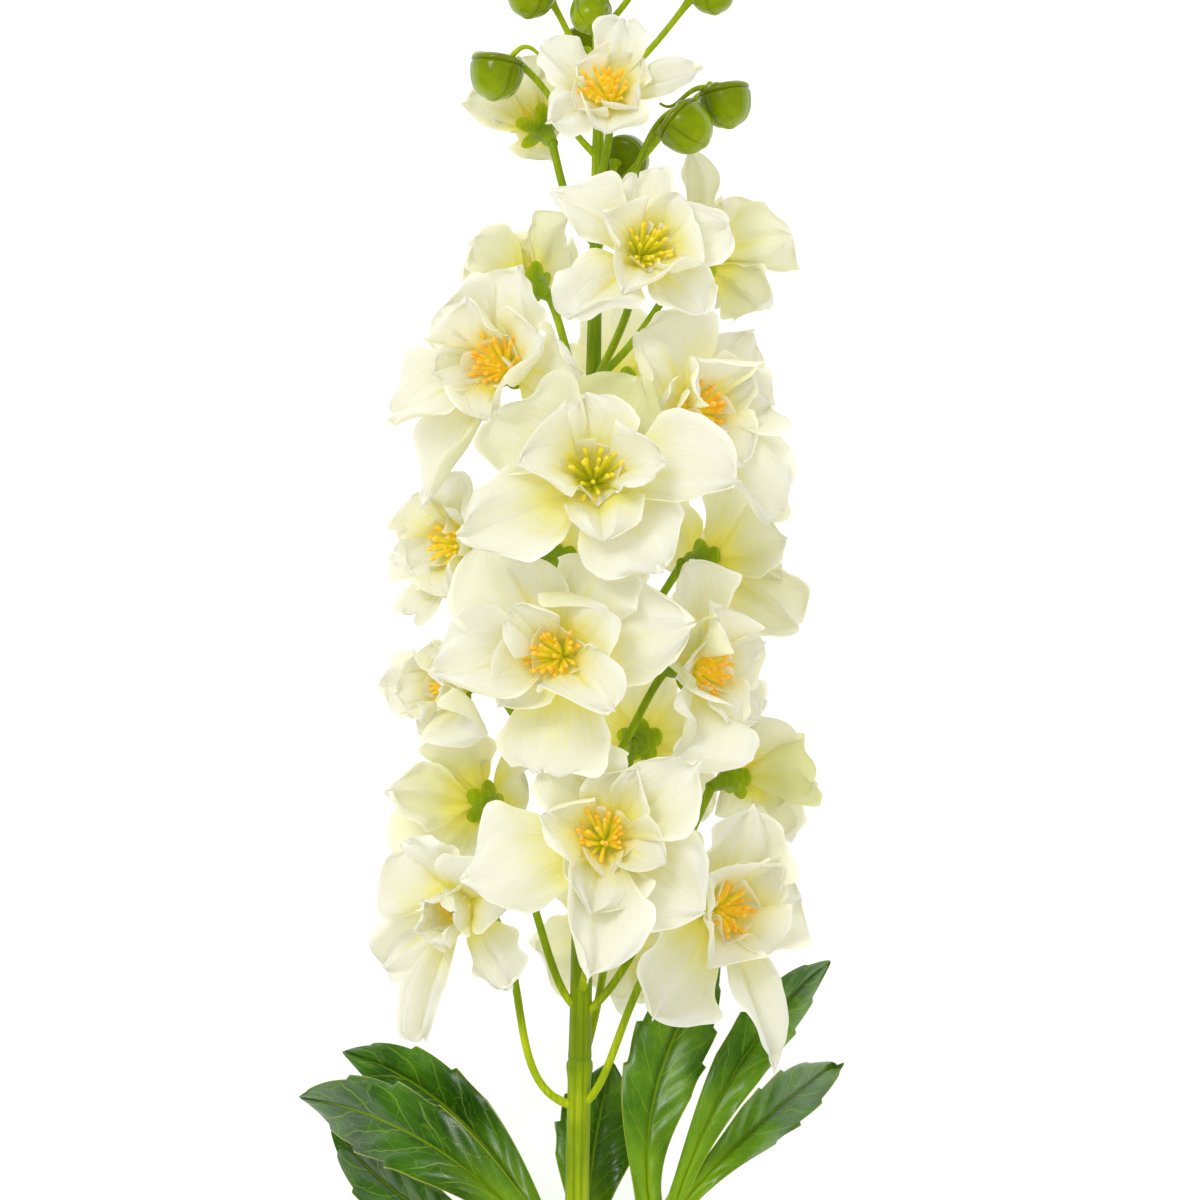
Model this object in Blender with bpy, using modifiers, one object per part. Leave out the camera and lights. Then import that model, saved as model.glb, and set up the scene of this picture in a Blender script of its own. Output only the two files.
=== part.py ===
"""A delphinium flower spike, cut and laid on its back on a table.

The stalk runs along +Y with its tip at +Y, the side that shows faces up (+Z), and the blooms and leaves at
the back touch the table at z = 0. Nodes: the green stem with its flower stalks, calyces and buds, three
leaves, and for each bloom its petals and its tuft of stamens.
"""

import math
import random

import bmesh
import bpy
import numpy as np
from mathutils import Matrix, Vector

MM = 0.001

# Where the spike lies. Places below are in millimetres from the middle of the spike on its stalk's axis.
STALK_HEIGHT = 51.0
MIDDLE_RIGHT = 10.0
MIDDLE_UP = 36.7
ORIGIN = Vector((MIDDLE_RIGHT, MIDDLE_UP, STALK_HEIGHT))

# Stalk
STALK_CUT = -307.0
STALK_TIP = 222.0
STALK_LEAN = 0.02
STALK_UPRIGHT_AT = 177.0
STALK_RADIUS_LOW = 4.2
STALK_RADIUS_TIP = 1.3
KNUCKLE_AT = -149.0
KNUCKLE_SWELL = 1.16
STALK_POINTS = 11

# Flower stalks and calyces
FLOWER_STALK_RADIUS = 1.3
CALYX_LENGTH = 11.0
CALYX_MOUTH_RADIUS = 3.5
CALYX_NECK_RADIUS = 1.7
CALYX_SEPALS = 3
SEPAL_REACH = 8.5
SEPAL_THICKNESS = 1.6
SEAT_GAP = 0.3
PRESSED_WITHIN = 0.25

# Blooms
RECEPTACLE_RADIUS = 3.9
RECEPTACLE_TOP_RADIUS = 3.3
RECEPTACLE_HEIGHT = 2.4
RECEPTACLE_SIDES = 6
PETAL_THICKNESS = 0.9
CORNER_ROUNDING = 0.85
OUTER_GRID = (3, 4)
INNER_GRID = (2, 3)
OUTER_ROOT = (2.4, 0.9)
INNER_ROOT = (2.2, 1.7)
PETAL_LENGTH_TO_REACH = 1.1
OUTER_WIDTH_TO_REACH = 0.98
OUTER_RISE_STEPS = (-7, 5, -5, 9, 0)
INNER_LENGTH_TO_REACH = 0.66
INNER_WIDTH_TO_REACH = 0.68
INNER_COUNT = 4
CLAW = 0.16
WIDEST_AT = 0.60
TIP_BLUNTNESS = 0.55
TIP_POINT = 0.09
ROOM_MARGIN = 0.9
ROOM_SOFTNESS = 2.0
WALL_TILT = 0.9
ROOT_FREE = 0.2
SECTOR_FREE = 0.001
OVER_WAY = Vector((0.0, 0.15, 1.0))
SECTOR_OVERLAP = 3.5
SECTOR_MARGIN = 0.55
SECTOR_SOFTNESS = 0.5
STALK_CLEARANCE = 3.0

# Stamens
TUFT_RADIUS = 1.6
TUFT_HEIGHT = 1.0
TUFT_SIDES = 4
STAMEN_COUNT = 5
STAMEN_LENGTH = 11.0
STAMEN_RADIUS = 0.8
STAMEN_SPREAD = 24.0

# Leaves
LEAF_THICKNESS = 1.0
LEAF_GRID = (4, 8)
LEAF_TOOTH = 0.17
LEAF_TEETH_FROM = 0.45
PETIOLE_RADIUS = 2.0

LEAF_GREEN = (0.045, 0.17, 0.012)
STEM_GREEN = (0.22, 0.36, 0.02)
PETAL_CREAM = (0.90, 0.88, 0.66)
STAMEN_YELLOW = (0.80, 0.50, 0.06)


class Bloom:
    """One bloom: where its petals meet, the way it faces, how far its petals reach, and how they stand.

    outer lists each outer petal as (turn, length, width): the turn in degrees anticlockwise from the bloom's
    right, seen from in front of it, and the length and width against the bloom's own. rise and droop are the
    angles at which the petals leave and end, and drop is how far down the stalk the flower stalk leaves.
    """

    def __init__(self, name, throat, facing, reach, outer, inner_turn, rise, droop, drop, cup=1.0):
        self.name = name
        self.throat = Vector(throat)
        self.facing = Vector(facing).normalized()
        self.reach = reach
        self.outer = outer
        self.inner_turn = inner_turn
        self.rise = rise
        self.droop = droop
        self.cup = cup
        self.drop = drop
        up = Vector((0, 1, 0))
        self.up = (up - self.facing * up.dot(self.facing)).normalized()
        self.right = self.up.cross(self.facing)

    def middle(self):
        return self.throat + self.facing * (0.22 * self.reach)


def ring(turn, *lengths):
    """Outer petals spaced evenly round the bloom, the first of them at turn degrees."""
    step = 360.0 / len(lengths)
    return [(turn + step * index, length, 1.0) for index, length in enumerate(lengths)]


BLOOMS = [
    Bloom(
        "bloom_top_front", throat=(3, 157, 27), facing=(0.0, 0.50, 0.87), reach=24,
        outer=[(142, 0.96, 0.9), (78, 0.95, 0.8), (14, 1.05, 0.55), (268, 0.9, 1.0), (210, 0.75, 0.8)],
        inner_turn=45, rise=34, droop=0, drop=26,
    ),
    Bloom(
        "bloom_top_left", throat=(-19, 152, -14), facing=(-0.35, 0.50, -0.79), reach=20,
        outer=[(13, 1.0, 1.05), (62, 0.92, 1.0), (120, 0.8, 1.0), (178, 0.75, 1.0), (240, 1.15, 0.85)],
        inner_turn=10, rise=40, droop=5, drop=38,
    ),
    Bloom(
        "bloom_upper_front", throat=(13, 107, 38), facing=(0.15, 0.35, 0.92), reach=28,
        outer=[(222, 1.15, 1.1), (146, 1.05, 0.85), (92, 0.95, 0.75), (17, 0.88, 0.9), (310, 0.85, 1.0)],
        inner_turn=60, rise=30, droop=-5, drop=38,
    ),
    Bloom(
        "bloom_upper_right", throat=(32, 110, -16), facing=(0.66, 0.42, -0.62), reach=28,
        outer=[(94, 1.05, 0.5), (178, 0.94, 1.0), (230, 0.78, 0.95), (290, 0.7, 0.9), (15, 0.8, 0.9)],
        inner_turn=25, rise=35, droop=0, drop=40,
    ),
    Bloom(
        "bloom_upper_left", throat=(-22, 102, -24), facing=(-0.55, 0.40, -0.73), reach=26,
        outer=[(122, 0.86, 0.7), (30, 0.76, 0.9), (330, 0.85, 1.0), (260, 1.0, 1.0), (190, 1.0, 1.0)],
        inner_turn=20, rise=36, droop=0, drop=40,
    ),
    Bloom(
        "bloom_left_high", throat=(-29, 73, 34), facing=(-0.42, 0.12, 0.90), reach=32,
        outer=[(140, 0.74, 1.1), (76, 0.86, 0.95), (350, 0.95, 1.05), (209, 1.06, 0.85), (250, 1.4, 0.55)],
        inner_turn=15, rise=30, droop=-8, drop=38,
    ),
    Bloom(
        "bloom_right_high", throat=(27, 60, 24), facing=(0.60, 0.03, 0.80), reach=32,
        outer=[(129, 1.08, 1.15), (192, 1.0, 1.0), (50, 0.84, 0.85), (4, 0.76, 0.85), (304, 1.26, 0.85)],
        inner_turn=40, rise=30, droop=-8, drop=40,
    ),
    Bloom(
        "bloom_middle_front", throat=(-2, 36, 50), facing=(0.02, 0.38, 0.92), reach=36,
        outer=[(209, 1.25, 1.0), (143, 1.0, 1.0), (66, 0.95, 1.05), (358, 1.2, 0.95), (306, 0.9, 1.0)],
        inner_turn=90, rise=24, droop=-4, drop=42,
    ),
    Bloom(
        "bloom_left_middle", throat=(-41, 18, 8), facing=(-0.77, -0.06, 0.63), reach=29,
        outer=[(243, 1.48, 0.55), (190, 0.85, 0.7), (135, 0.6, 0.8), (62, 0.85, 1.0), (316, 0.5, 0.85)],
        inner_turn=20, rise=32, droop=-6, drop=40,
    ),
    Bloom(
        "bloom_right_middle", throat=(33, 12, -18), facing=(0.62, 0.02, -0.78), reach=31,
        outer=[(22, 1.0, 1.0), (95, 0.95, 1.0), (165, 0.76, 0.85), (217, 1.04, 0.8), (294, 0.9, 1.0)],
        inner_turn=10, rise=34, droop=-6, drop=40,
    ),
    Bloom(
        "bloom_centre_front", throat=(-12, -18, 46), facing=(-0.10, 0.10, 0.99), reach=34,
        outer=[(120, 1.1, 1.1), (66, 1.15, 1.0), (14, 1.1, 1.1), (190, 1.1, 1.0), (266, 1.2, 1.05)],
        inner_turn=52, rise=28, droop=-6, drop=42,
    ),
    Bloom(
        "bloom_left_low", throat=(-44, -27, 10), facing=(-0.80, -0.08, 0.60), reach=25,
        outer=[(35, 0.88, 1.0), (110, 0.5, 0.9), (180, 0.95, 1.0), (250, 0.56, 0.85), (325, 0.96, 1.0)],
        inner_turn=5, rise=36, droop=0, drop=40,
    ),
    Bloom(
        "bloom_right_centre", throat=(28, -22, 20), facing=(0.70, 0.05, 0.71), reach=31,
        outer=[(106, 1.15, 0.65), (164, 0.95, 0.9), (236, 1.15, 1.1), (318, 0.74, 0.9), (44, 0.6, 0.85)],
        inner_turn=15, rise=34, droop=-4, drop=40,
    ),
    Bloom(
        "bloom_left_under", throat=(-37, -66, -20), facing=(-0.60, 0.12, -0.79), reach=28,
        outer=[(6, 0.96, 0.9), (80, 0.85, 1.0), (159, 1.0, 1.0), (231, 1.0, 1.0), (303, 0.92, 0.9)],
        inner_turn=30, rise=34, droop=-4, drop=50,
    ),
    Bloom(
        "bloom_right_under", throat=(43, -57, -14), facing=(0.70, 0.28, -0.65), reach=27,
        outer=[(42, 0.9, 1.0), (118, 0.74, 0.95), (186, 0.92, 0.85), (256, 0.86, 1.0), (328, 0.9, 1.0)],
        inner_turn=35, rise=36, droop=-2, drop=48,
    ),
    Bloom(
        "bloom_low_front", throat=(1, -76, 47), facing=(0.05, 0.22, 0.97), reach=34,
        outer=[(196, 1.18, 1.05), (262, 1.18, 0.8), (322, 1.02, 1.05), (38, 0.98, 0.95), (112, 0.95, 1.0)],
        inner_turn=70, rise=28, droop=-6, drop=50,
    ),
    Bloom(
        "bloom_bottom_left", throat=(-43, -96, 20), facing=(-0.42, -0.22, 0.88), reach=30,
        outer=[(216, 1.0, 0.75), (250, 1.38, 0.52), (302, 0.85, 0.8), (20, 0.82, 1.0), (128, 0.72, 1.15)],
        inner_turn=25, rise=30, droop=-6, drop=66, cup=1.4,
    ),
    Bloom(
        "bloom_bottom_right", throat=(36, -98, 20), facing=(0.50, -0.02, 0.86), reach=33,
        outer=[(230, 1.12, 1.1), (284, 1.36, 0.58), (142, 0.92, 0.95), (78, 0.88, 1.0), (8, 0.72, 0.95)],
        inner_turn=50, rise=30, droop=-8, drop=64,
    ),
    Bloom(
        "bloom_back_high", throat=(8, 68, -36), facing=(0.10, 0.08, -1.0), reach=26,
        outer=ring(80, 1, 1, 1, 1, 1),
        inner_turn=30, rise=20, droop=0, drop=36,
    ),
    Bloom(
        "bloom_back_middle", throat=(-14, 12, -37), facing=(-0.22, 0.05, -0.97), reach=27,
        outer=ring(50, 1, 1, 1, 1, 1),
        inner_turn=5, rise=20, droop=0, drop=38,
    ),
    Bloom(
        "bloom_back_centre", throat=(13, -46, -37), facing=(0.18, 0.0, -0.98), reach=28,
        outer=ring(20, 1, 1, 1, 1, 1),
        inner_turn=20, rise=20, droop=0, drop=38,
    ),
    Bloom(
        "bloom_back_low", throat=(4, -108, -37), facing=(0.10, -0.1, -0.99), reach=29,
        outer=[(60, 1.0, 1.0), (132, 1.0, 1.0), (204, 0.74, 1.0), (276, 0.55, 1.0), (348, 0.78, 1.0)],
        inner_turn=15, rise=20, droop=0, drop=42,
    ),
]

# Buds: place, the way the closed tip points, radius, and how far down the stalk its own stalk leaves.
BUDS = [
    ((-33, 168, 12), (-0.75, -0.45, 0.5), 8.6, 26),
    ((40, 159, 10), (0.55, -0.60, 0.6), 8.4, 32),
    ((27, 150, 22), (0.70, -0.25, 0.65), 8.6, 34),
    ((8, 142, -14), (0.4, 0.2, -0.9), 8.0, 30),
    ((-22, 194, 6), (-0.8, 0.30, 0.5), 8.0, 26),
    ((-3, 186, 17), (-0.1, -0.55, 0.83), 6.6, 22),
    ((36, 195, 4), (0.85, 0.25, 0.4), 7.6, 34),
    ((-6, 178, -16), (-0.2, 0.2, -0.95), 7.2, 24),
    ((17, 204, 14), (0.5, 0.5, 0.7), 6.2, 22),
    ((-12, 213, 10), (-0.5, 0.7, 0.5), 5.6, 20),
    ((10, 212, -13), (0.4, 0.6, -0.7), 5.8, 22),
    ((-10, 205, -14), (-0.5, 0.5, -0.7), 5.8, 20),
    ((9, 225, 4), (0.5, 0.85, 0.2), 4.6, 16),
    ((-3, 229, -3), (-0.1, 1.0, -0.1), 4.4, 8),
]
BUD_SIDES = 8
BUD_RINGS = 4
BUD_LENGTH = 1.08
BUD_LOBES = 4
BUD_LOBE_DEPTH = 0.09
BUD_STALK_RADIUS = 1.05

# Spurs: the thin curled horns behind the largest buds, each from the bud to its tip as a Bezier curve.
SPURS = [
    ((-29, 171.5, 13.5), (-24, 179, 15), (-21, 176, 15), (-16, 169, 13)),
    ((36.5, 162.5, 12), (27, 166, 15), (25, 153, 15), (19, 158, 14)),
    ((30, 155.5, 23.5), (18, 158, 26), (14, 144, 20), (9, 132, 9)),
    ((-18, 196, 8), (-9, 200, 10), (-8, 192, 8), (-4, 190, 6)),
    ((31.5, 196.5, 6), (20, 198, 8), (18, 190, 8), (13, 193, 8)),
]
SPUR_RADIUS = 1.0
SPUR_TIP_RADIUS = 0.45

# Leaves: the joint on the stalk, where the lobes part, and each lobe as (tip, bend, width). bend is the
# middle point that the lobe's rib swings towards.
LEAVES = {
    "leaf_left": {
        "joint": (-14.6, -238, 1),
        "parting": (-16, -206, 6),
        "lobes": [
            ((-98.5, -163, -50), (-54, -162, 20), 29),
            ((-84, -147, -40), (-40, -157, -8), 26),
            ((-88, -173, -60), (-60, -205, -8), 22),
        ],
    },
    "leaf_right": {
        "joint": (-2.5, -236, 1),
        "parting": (21.5, -192, 6),
        "lobes": [
            ((39, -114, -14), (10, -154, 4), 28),
            ((75, -117, -30), (42, -138, 20), 20),
            ((78, -152, -56), (52, -162, 12), 20),
        ],
    },
    "leaf_back": {
        "joint": (-7.6, -236, -6.0),
        "parting": (-4, -206, -16),
        "lobes": [
            ((4, -150, -34), (-4, -178, -14), 30),
            ((-36, -216, -59), (-22, -198, -34), 24),
            ((26, -220, -59), (18, -200, -34), 24),
        ],
    },
}


def place(point):
    """Metres in the part's frame, from millimetres in the spike's own."""
    return (Vector(point) + ORIGIN) * MM


def stalk_axis(y):
    return Vector((STALK_LEAN * (y - STALK_UPRIGHT_AT), y, 0.0))


def stalk_radius(y):
    """Thins from the cut to the tip, with a swelling at the knuckle where the lowest flower stalks leave."""
    share = (y - STALK_CUT) / (STALK_TIP - STALK_CUT)
    plain = STALK_RADIUS_LOW + (STALK_RADIUS_TIP - STALK_RADIUS_LOW) * share**1.4
    return plain * (1 + (KNUCKLE_SWELL - 1) * math.exp(-(((y - KNUCKLE_AT) / 3.0) ** 2)))


def clear_scene():
    for obj in list(bpy.data.objects):
        bpy.data.objects.remove(obj, do_unlink=True)


def material(name, colour, roughness):
    made = bpy.data.materials.new(name)
    made.use_nodes = True
    shader = made.node_tree.nodes["Principled BSDF"]
    shader.inputs["Base Color"].default_value = (*colour, 1.0)
    shader.inputs["Roughness"].default_value = roughness
    shader.inputs["Metallic"].default_value = 0.0
    return made


def new_object(name, mesh, collection):
    obj = bpy.data.objects.new(name, mesh)
    collection.objects.link(obj)
    return obj


def mesh_from(bm, name):
    mesh = bpy.data.meshes.new(name)
    bm.to_mesh(mesh)
    bm.free()
    return mesh


# Thin blades

def blade(name, surface, grid, thickness, collection):
    """A petal or leaf lobe: a triangulated grid laid on surface(u, v, skin), thickened except at its rim.

    u runs across from -1 to 1, v along from 0 to 1, and skin is half the thickness there. Both faces are
    split alike, so a waved blade never crosses itself. The corners are drawn in, which splits them through
    their inner vertex, so the rim closes.
    """
    across, along = grid
    bm = bmesh.new()
    bmesh.ops.create_grid(bm, x_segments=across, y_segments=along, size=1.0)
    for vertex in bm.verts:
        if len(vertex.link_faces) == 1:
            vertex.co *= CORNER_ROUNDING
    bmesh.ops.triangulate(bm, faces=bm.faces[:], quad_method="SHORT_EDGE")
    flat = np.array([vertex.co for vertex in bm.verts])
    inside = [vertex.index for vertex in bm.verts if not vertex.is_boundary]
    skin = np.zeros(len(flat))
    skin[inside] = thickness / 2
    for vertex, point in zip(bm.verts, surface(flat[:, 0], flat[:, 1] / 2 + 0.5, skin)):
        vertex.co = place(point)
    obj = new_object(name, mesh_from(bm, name), collection)
    obj.vertex_groups.new(name="body").add(inside, 1.0, "REPLACE")
    solidify = obj.modifiers.new("thickness", "SOLIDIFY")
    solidify.thickness = thickness * MM
    solidify.offset = 0.0
    solidify.vertex_group = "body"
    solidify.thickness_vertex_group = 0.0
    weld = obj.modifiers.new("close_rim", "WELD")
    weld.merge_threshold = 0.00001
    return obj


def outline(v):
    """Half width along a petal: a narrow claw, widest past the middle, then a blunt end."""
    grow = CLAW + (1 - CLAW) * np.sin(np.pi / 2 * np.clip(v / WIDEST_AT, 0, 1)) ** 1.15
    close = np.cos(np.pi / 2 * 0.97 * np.clip((v - WIDEST_AT) / (1 - WIDEST_AT), 0, 1)) ** TIP_BLUNTNESS
    return grow * close


def petal_shape(u, v, root, length, width, rise, droop, cup, fold, wave, phase, twist):
    """Points of one petal as (out from the bloom's axis, sideways, along the axis), in millimetres.

    The rib leaves the root at the angle rise and bends to droop at the tip. Across it the blade is folded
    along the rib, cupped, waved towards the edge, and turned about the rib by twist at the tip.
    """
    steps = np.linspace(0, 1, 33)
    pitch = np.radians(rise + (droop - rise) * steps**1.3)
    run = np.concatenate([[0], np.cumsum((np.cos(pitch[1:]) + np.cos(pitch[:-1])) / 2)]) * length / 32
    climb = np.concatenate([[0], np.cumsum((np.sin(pitch[1:]) + np.sin(pitch[:-1])) / 2)]) * length / 32
    reach = v + TIP_POINT * (1 - np.abs(u)) ** 2 * v**6
    here = np.interp(v, steps, pitch)
    half = 0.5 * width * outline(v)
    side = half * u
    lift = half * (cup * u**2 + fold * np.abs(u)) + wave * half * u**2 * v * np.sin(7 * v + phase + 1.6 * u)
    turn = twist * v**1.5
    across = side * np.cos(turn) - lift * np.sin(turn)
    normal = side * np.sin(turn) + lift * np.cos(turn)
    extra = (reach - v) * length
    out = root[0] + np.interp(v, steps, run) + extra * np.cos(here) - normal * np.sin(here)
    up = root[1] + np.interp(v, steps, climb) + extra * np.sin(here) + normal * np.cos(here)
    return out, across, up


def rooms(bloom):
    """The walls of this bloom's room, one towards each near neighbour: point, normal, margin, softness, free.

    Each wall leans, so that of two blooms the one nearer the viewer spreads its petals over the other's.
    """
    walls = []
    for other in BLOOMS:
        gap = other.middle() - bloom.middle()
        if other is bloom or gap.length > 1.5 * (bloom.reach + other.reach):
            continue
        share = bloom.reach / (bloom.reach + other.reach)
        point = np.array(bloom.middle() + gap * share)
        over = 1 if bloom.middle().dot(OVER_WAY) > other.middle().dot(OVER_WAY) else -1
        normal = (gap.normalized() - Vector((0, 0, WALL_TILT * over))).normalized()
        walls.append((point, np.array(normal), ROOM_MARGIN, ROOM_SOFTNESS, ROOT_FREE))
    return walls


def sector(bloom, settings, others):
    """Walls through the bloom's axis, midway between this petal and its neighbours in the same layer."""
    layer = [other for other in others if other["layer"] == settings["layer"] and other is not settings]
    gaps = [(other["turn"] - settings["turn"]) % 360 for other in layer]
    walls = []
    for half_gap, sign in ((min(gaps) / 2, 1), ((360 - max(gaps)) / 2, -1)):
        angle = math.radians(settings["turn"] + sign * (half_gap + SECTOR_OVERLAP + 90))
        normal = bloom.right * math.cos(angle) + bloom.up * math.sin(angle)
        walls.append((np.array(bloom.throat), np.array(normal), SECTOR_MARGIN, SECTOR_SOFTNESS, SECTOR_FREE))
    return walls


def kept_in_room(points, walls, skin, along):
    """Points bent back smoothly from the walls of the bloom's room, from the stalk, and from the table.

    A wall takes hold from the root, where along is 0, up to its own last number, where it holds fully.
    """
    points = points.copy()
    for _ in range(4):
        for wall, normal, margin, softness, held_from in walls:
            past = (points - wall) @ normal + margin
            push = 0.5 * (past + np.sqrt(past**2 + softness**2)) * np.clip(along / held_from, 0, 1)
            points -= push[:, None] * normal
    axis_x = STALK_LEAN * (points[:, 1] - STALK_UPRIGHT_AT)
    off = np.stack([points[:, 0] - axis_x, points[:, 2]], axis=1)
    distance = np.maximum(np.linalg.norm(off, axis=1), 0.01)
    radius = np.array([stalk_radius(y) for y in points[:, 1]]) + STALK_CLEARANCE
    push = np.maximum(radius - distance, 0)
    points[:, 0] += push * off[:, 0] / distance
    points[:, 2] += push * off[:, 1] / distance
    points[:, 2] = np.maximum(points[:, 2], skin - STALK_HEIGHT)
    return points


def petals(bloom, number):
    """Each petal of the bloom: the settings that petal_shape takes, its layer and its turn."""
    chance = random.Random(100 + number)
    found = []
    for index, (turn, length, width) in enumerate(bloom.outer):
        found.append(
            dict(
                layer="outer",
                turn=turn,
                root=OUTER_ROOT,
                length=bloom.reach * length * PETAL_LENGTH_TO_REACH,
                width=bloom.reach * OUTER_WIDTH_TO_REACH * width * chance.uniform(0.94, 1.06),
                rise=bloom.rise + OUTER_RISE_STEPS[index] + chance.uniform(-2, 2),
                droop=bloom.droop + chance.uniform(-14, 10),
                cup=0.32 * bloom.cup * chance.uniform(0.6, 1.3),
                fold=0.10,
                wave=chance.uniform(0.10, 0.22),
                phase=chance.uniform(0, 6.28),
                twist=chance.uniform(-0.30, 0.30),
            )
        )
    for index in range(INNER_COUNT):
        found.append(
            dict(
                layer="inner",
                turn=bloom.inner_turn + 360 / INNER_COUNT * index + chance.uniform(-10, 10),
                root=INNER_ROOT,
                length=bloom.reach * INNER_LENGTH_TO_REACH * chance.uniform(0.88, 1.12),
                width=bloom.reach * INNER_WIDTH_TO_REACH * chance.uniform(0.85, 1.1),
                rise=64 + 7 * (index % 2) + chance.uniform(-3, 3),
                droop=38 + 20 * (bloom.cup - 1) + chance.uniform(-10, 10),
                cup=0.50,
                fold=0.12,
                wave=chance.uniform(0.05, 0.15),
                phase=chance.uniform(0, 6.28),
                twist=chance.uniform(-0.2, 0.2),
            )
        )
    return found


def petal_surface(bloom, settings, walls):
    """The function of u and v that lays one petal in the spike, bent clear of its neighbours."""
    turn = math.radians(settings["turn"])
    outward = np.array(bloom.right * math.cos(turn) + bloom.up * math.sin(turn))
    sideways = np.array(bloom.up * math.cos(turn) - bloom.right * math.sin(turn))
    facing = np.array(bloom.facing)
    shape = {key: value for key, value in settings.items() if key not in ("layer", "turn")}

    def surface(u, v, skin):
        out, across, up = petal_shape(u, v, **shape)
        spread = out[:, None] * outward + across[:, None] * sideways + up[:, None] * facing
        return kept_in_room(np.array(bloom.throat) + spread, walls, skin, v)

    return surface


# Round pieces

def cone(name, base, tip, base_radius, tip_radius, sides, collection):
    """A cone or a cylinder between two places, in millimetres."""
    axis = Vector(tip) - Vector(base)
    bm = bmesh.new()
    bmesh.ops.create_cone(
        bm,
        cap_ends=True,
        cap_tris=False,
        segments=sides,
        radius1=base_radius * MM,
        radius2=tip_radius * MM,
        depth=axis.length * MM,
    )
    turned = axis.to_track_quat("Z", "Y").to_matrix().to_4x4()
    move = Matrix.Translation(place(Vector(base) + axis / 2)) @ turned
    bmesh.ops.transform(bm, matrix=move, verts=bm.verts[:])
    return new_object(name, mesh_from(bm, name), collection)


def tube(name, points, radii, resolution, collection):
    """A tube along points, in millimetres, made a mesh with its caps welded so that Booleans take it."""
    curve = bpy.data.curves.new(name, "CURVE")
    curve.dimensions = "3D"
    curve.bevel_depth = MM
    curve.bevel_resolution = resolution
    curve.use_fill_caps = True
    spline = curve.splines.new("POLY")
    spline.points.add(len(points) - 1)
    for spot, point, radius in zip(spline.points, points, radii):
        spot.co = (*place(point), 1.0)
        spot.radius = radius
    guide = new_object(name + "_path", curve, collection)
    bpy.context.view_layer.update()
    mesh = bpy.data.meshes.new_from_object(guide.evaluated_get(bpy.context.evaluated_depsgraph_get()))
    bpy.data.objects.remove(guide)
    bm = bmesh.new()
    bm.from_mesh(mesh)
    bmesh.ops.remove_doubles(bm, verts=bm.verts[:], dist=0.00001)
    bmesh.ops.recalc_face_normals(bm, faces=bm.faces[:])
    bpy.data.meshes.remove(mesh)
    return new_object(name, mesh_from(bm, name), collection)


def bezier(start, leave, arrive, end, share):
    a, b, c, d = (Vector(p) for p in (start, leave, arrive, end))
    t = share
    return a * (1 - t) ** 3 + b * 3 * t * (1 - t) ** 2 + c * 3 * t**2 * (1 - t) + d * t**3


def stalk_from(foot_y, end, arrival, segments):
    """Points of a side stalk: it leaves the main stalk at foot_y, climbs, and ends towards arrival."""
    foot = stalk_axis(foot_y)
    away = Vector(end) - foot
    flat = Vector((away.x, 0, away.z)).normalized()
    reach = away.length
    leave = foot + (flat * 0.80 + Vector((0, 0.60, 0))) * reach * 0.36
    arrive = Vector(end) - (Vector(arrival) * 0.75 + Vector((0, 0.65, 0))).normalized() * reach * 0.34
    return [bezier(foot, leave, arrive, end, index / segments) for index in range(segments + 1)]


def calyx_foot(bloom):
    return bloom.throat - bloom.facing * (CALYX_LENGTH + SEAT_GAP)


def add_calyx(bloom, collection):
    """A tapered cup under the petals whose mouth is drawn out in pointed sepals that lie beneath them."""
    foot = calyx_foot(bloom)
    sides = 2 * CALYX_SEPALS
    bm = bmesh.new()
    bmesh.ops.create_cone(
        bm,
        cap_ends=True,
        cap_tris=False,
        segments=sides,
        radius1=CALYX_NECK_RADIUS,
        radius2=CALYX_MOUTH_RADIUS,
        depth=CALYX_LENGTH - SEPAL_THICKNESS,
    )
    mouth = [face for face in bm.faces if face.normal.z > 0.9]
    extruded = bmesh.ops.extrude_face_region(bm, geom=mouth)["geom"]
    rim = [item for item in extruded if isinstance(item, bmesh.types.BMVert)]
    bmesh.ops.delete(bm, geom=mouth, context="FACES_ONLY")
    bmesh.ops.translate(bm, vec=(0, 0, SEPAL_THICKNESS), verts=rim)
    for vertex in rim:
        turn = round(math.degrees(math.atan2(vertex.co.y, vertex.co.x))) % (360 // CALYX_SEPALS)
        reach = SEPAL_REACH if turn < 2 else CALYX_MOUTH_RADIUS
        vertex.co.xy = vertex.co.xy.normalized() * reach
    turned = Matrix((bloom.right, bloom.up, bloom.facing)).transposed().to_4x4()
    middle = foot + bloom.facing * (CALYX_LENGTH - SEPAL_THICKNESS) / 2
    move = Matrix.Translation(place(middle)) @ turned @ Matrix.Scale(MM, 4)
    bmesh.ops.transform(bm, matrix=move, verts=bm.verts[:])
    new_object(bloom.name + "_calyx", mesh_from(bm, bloom.name + "_calyx"), collection)


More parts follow.
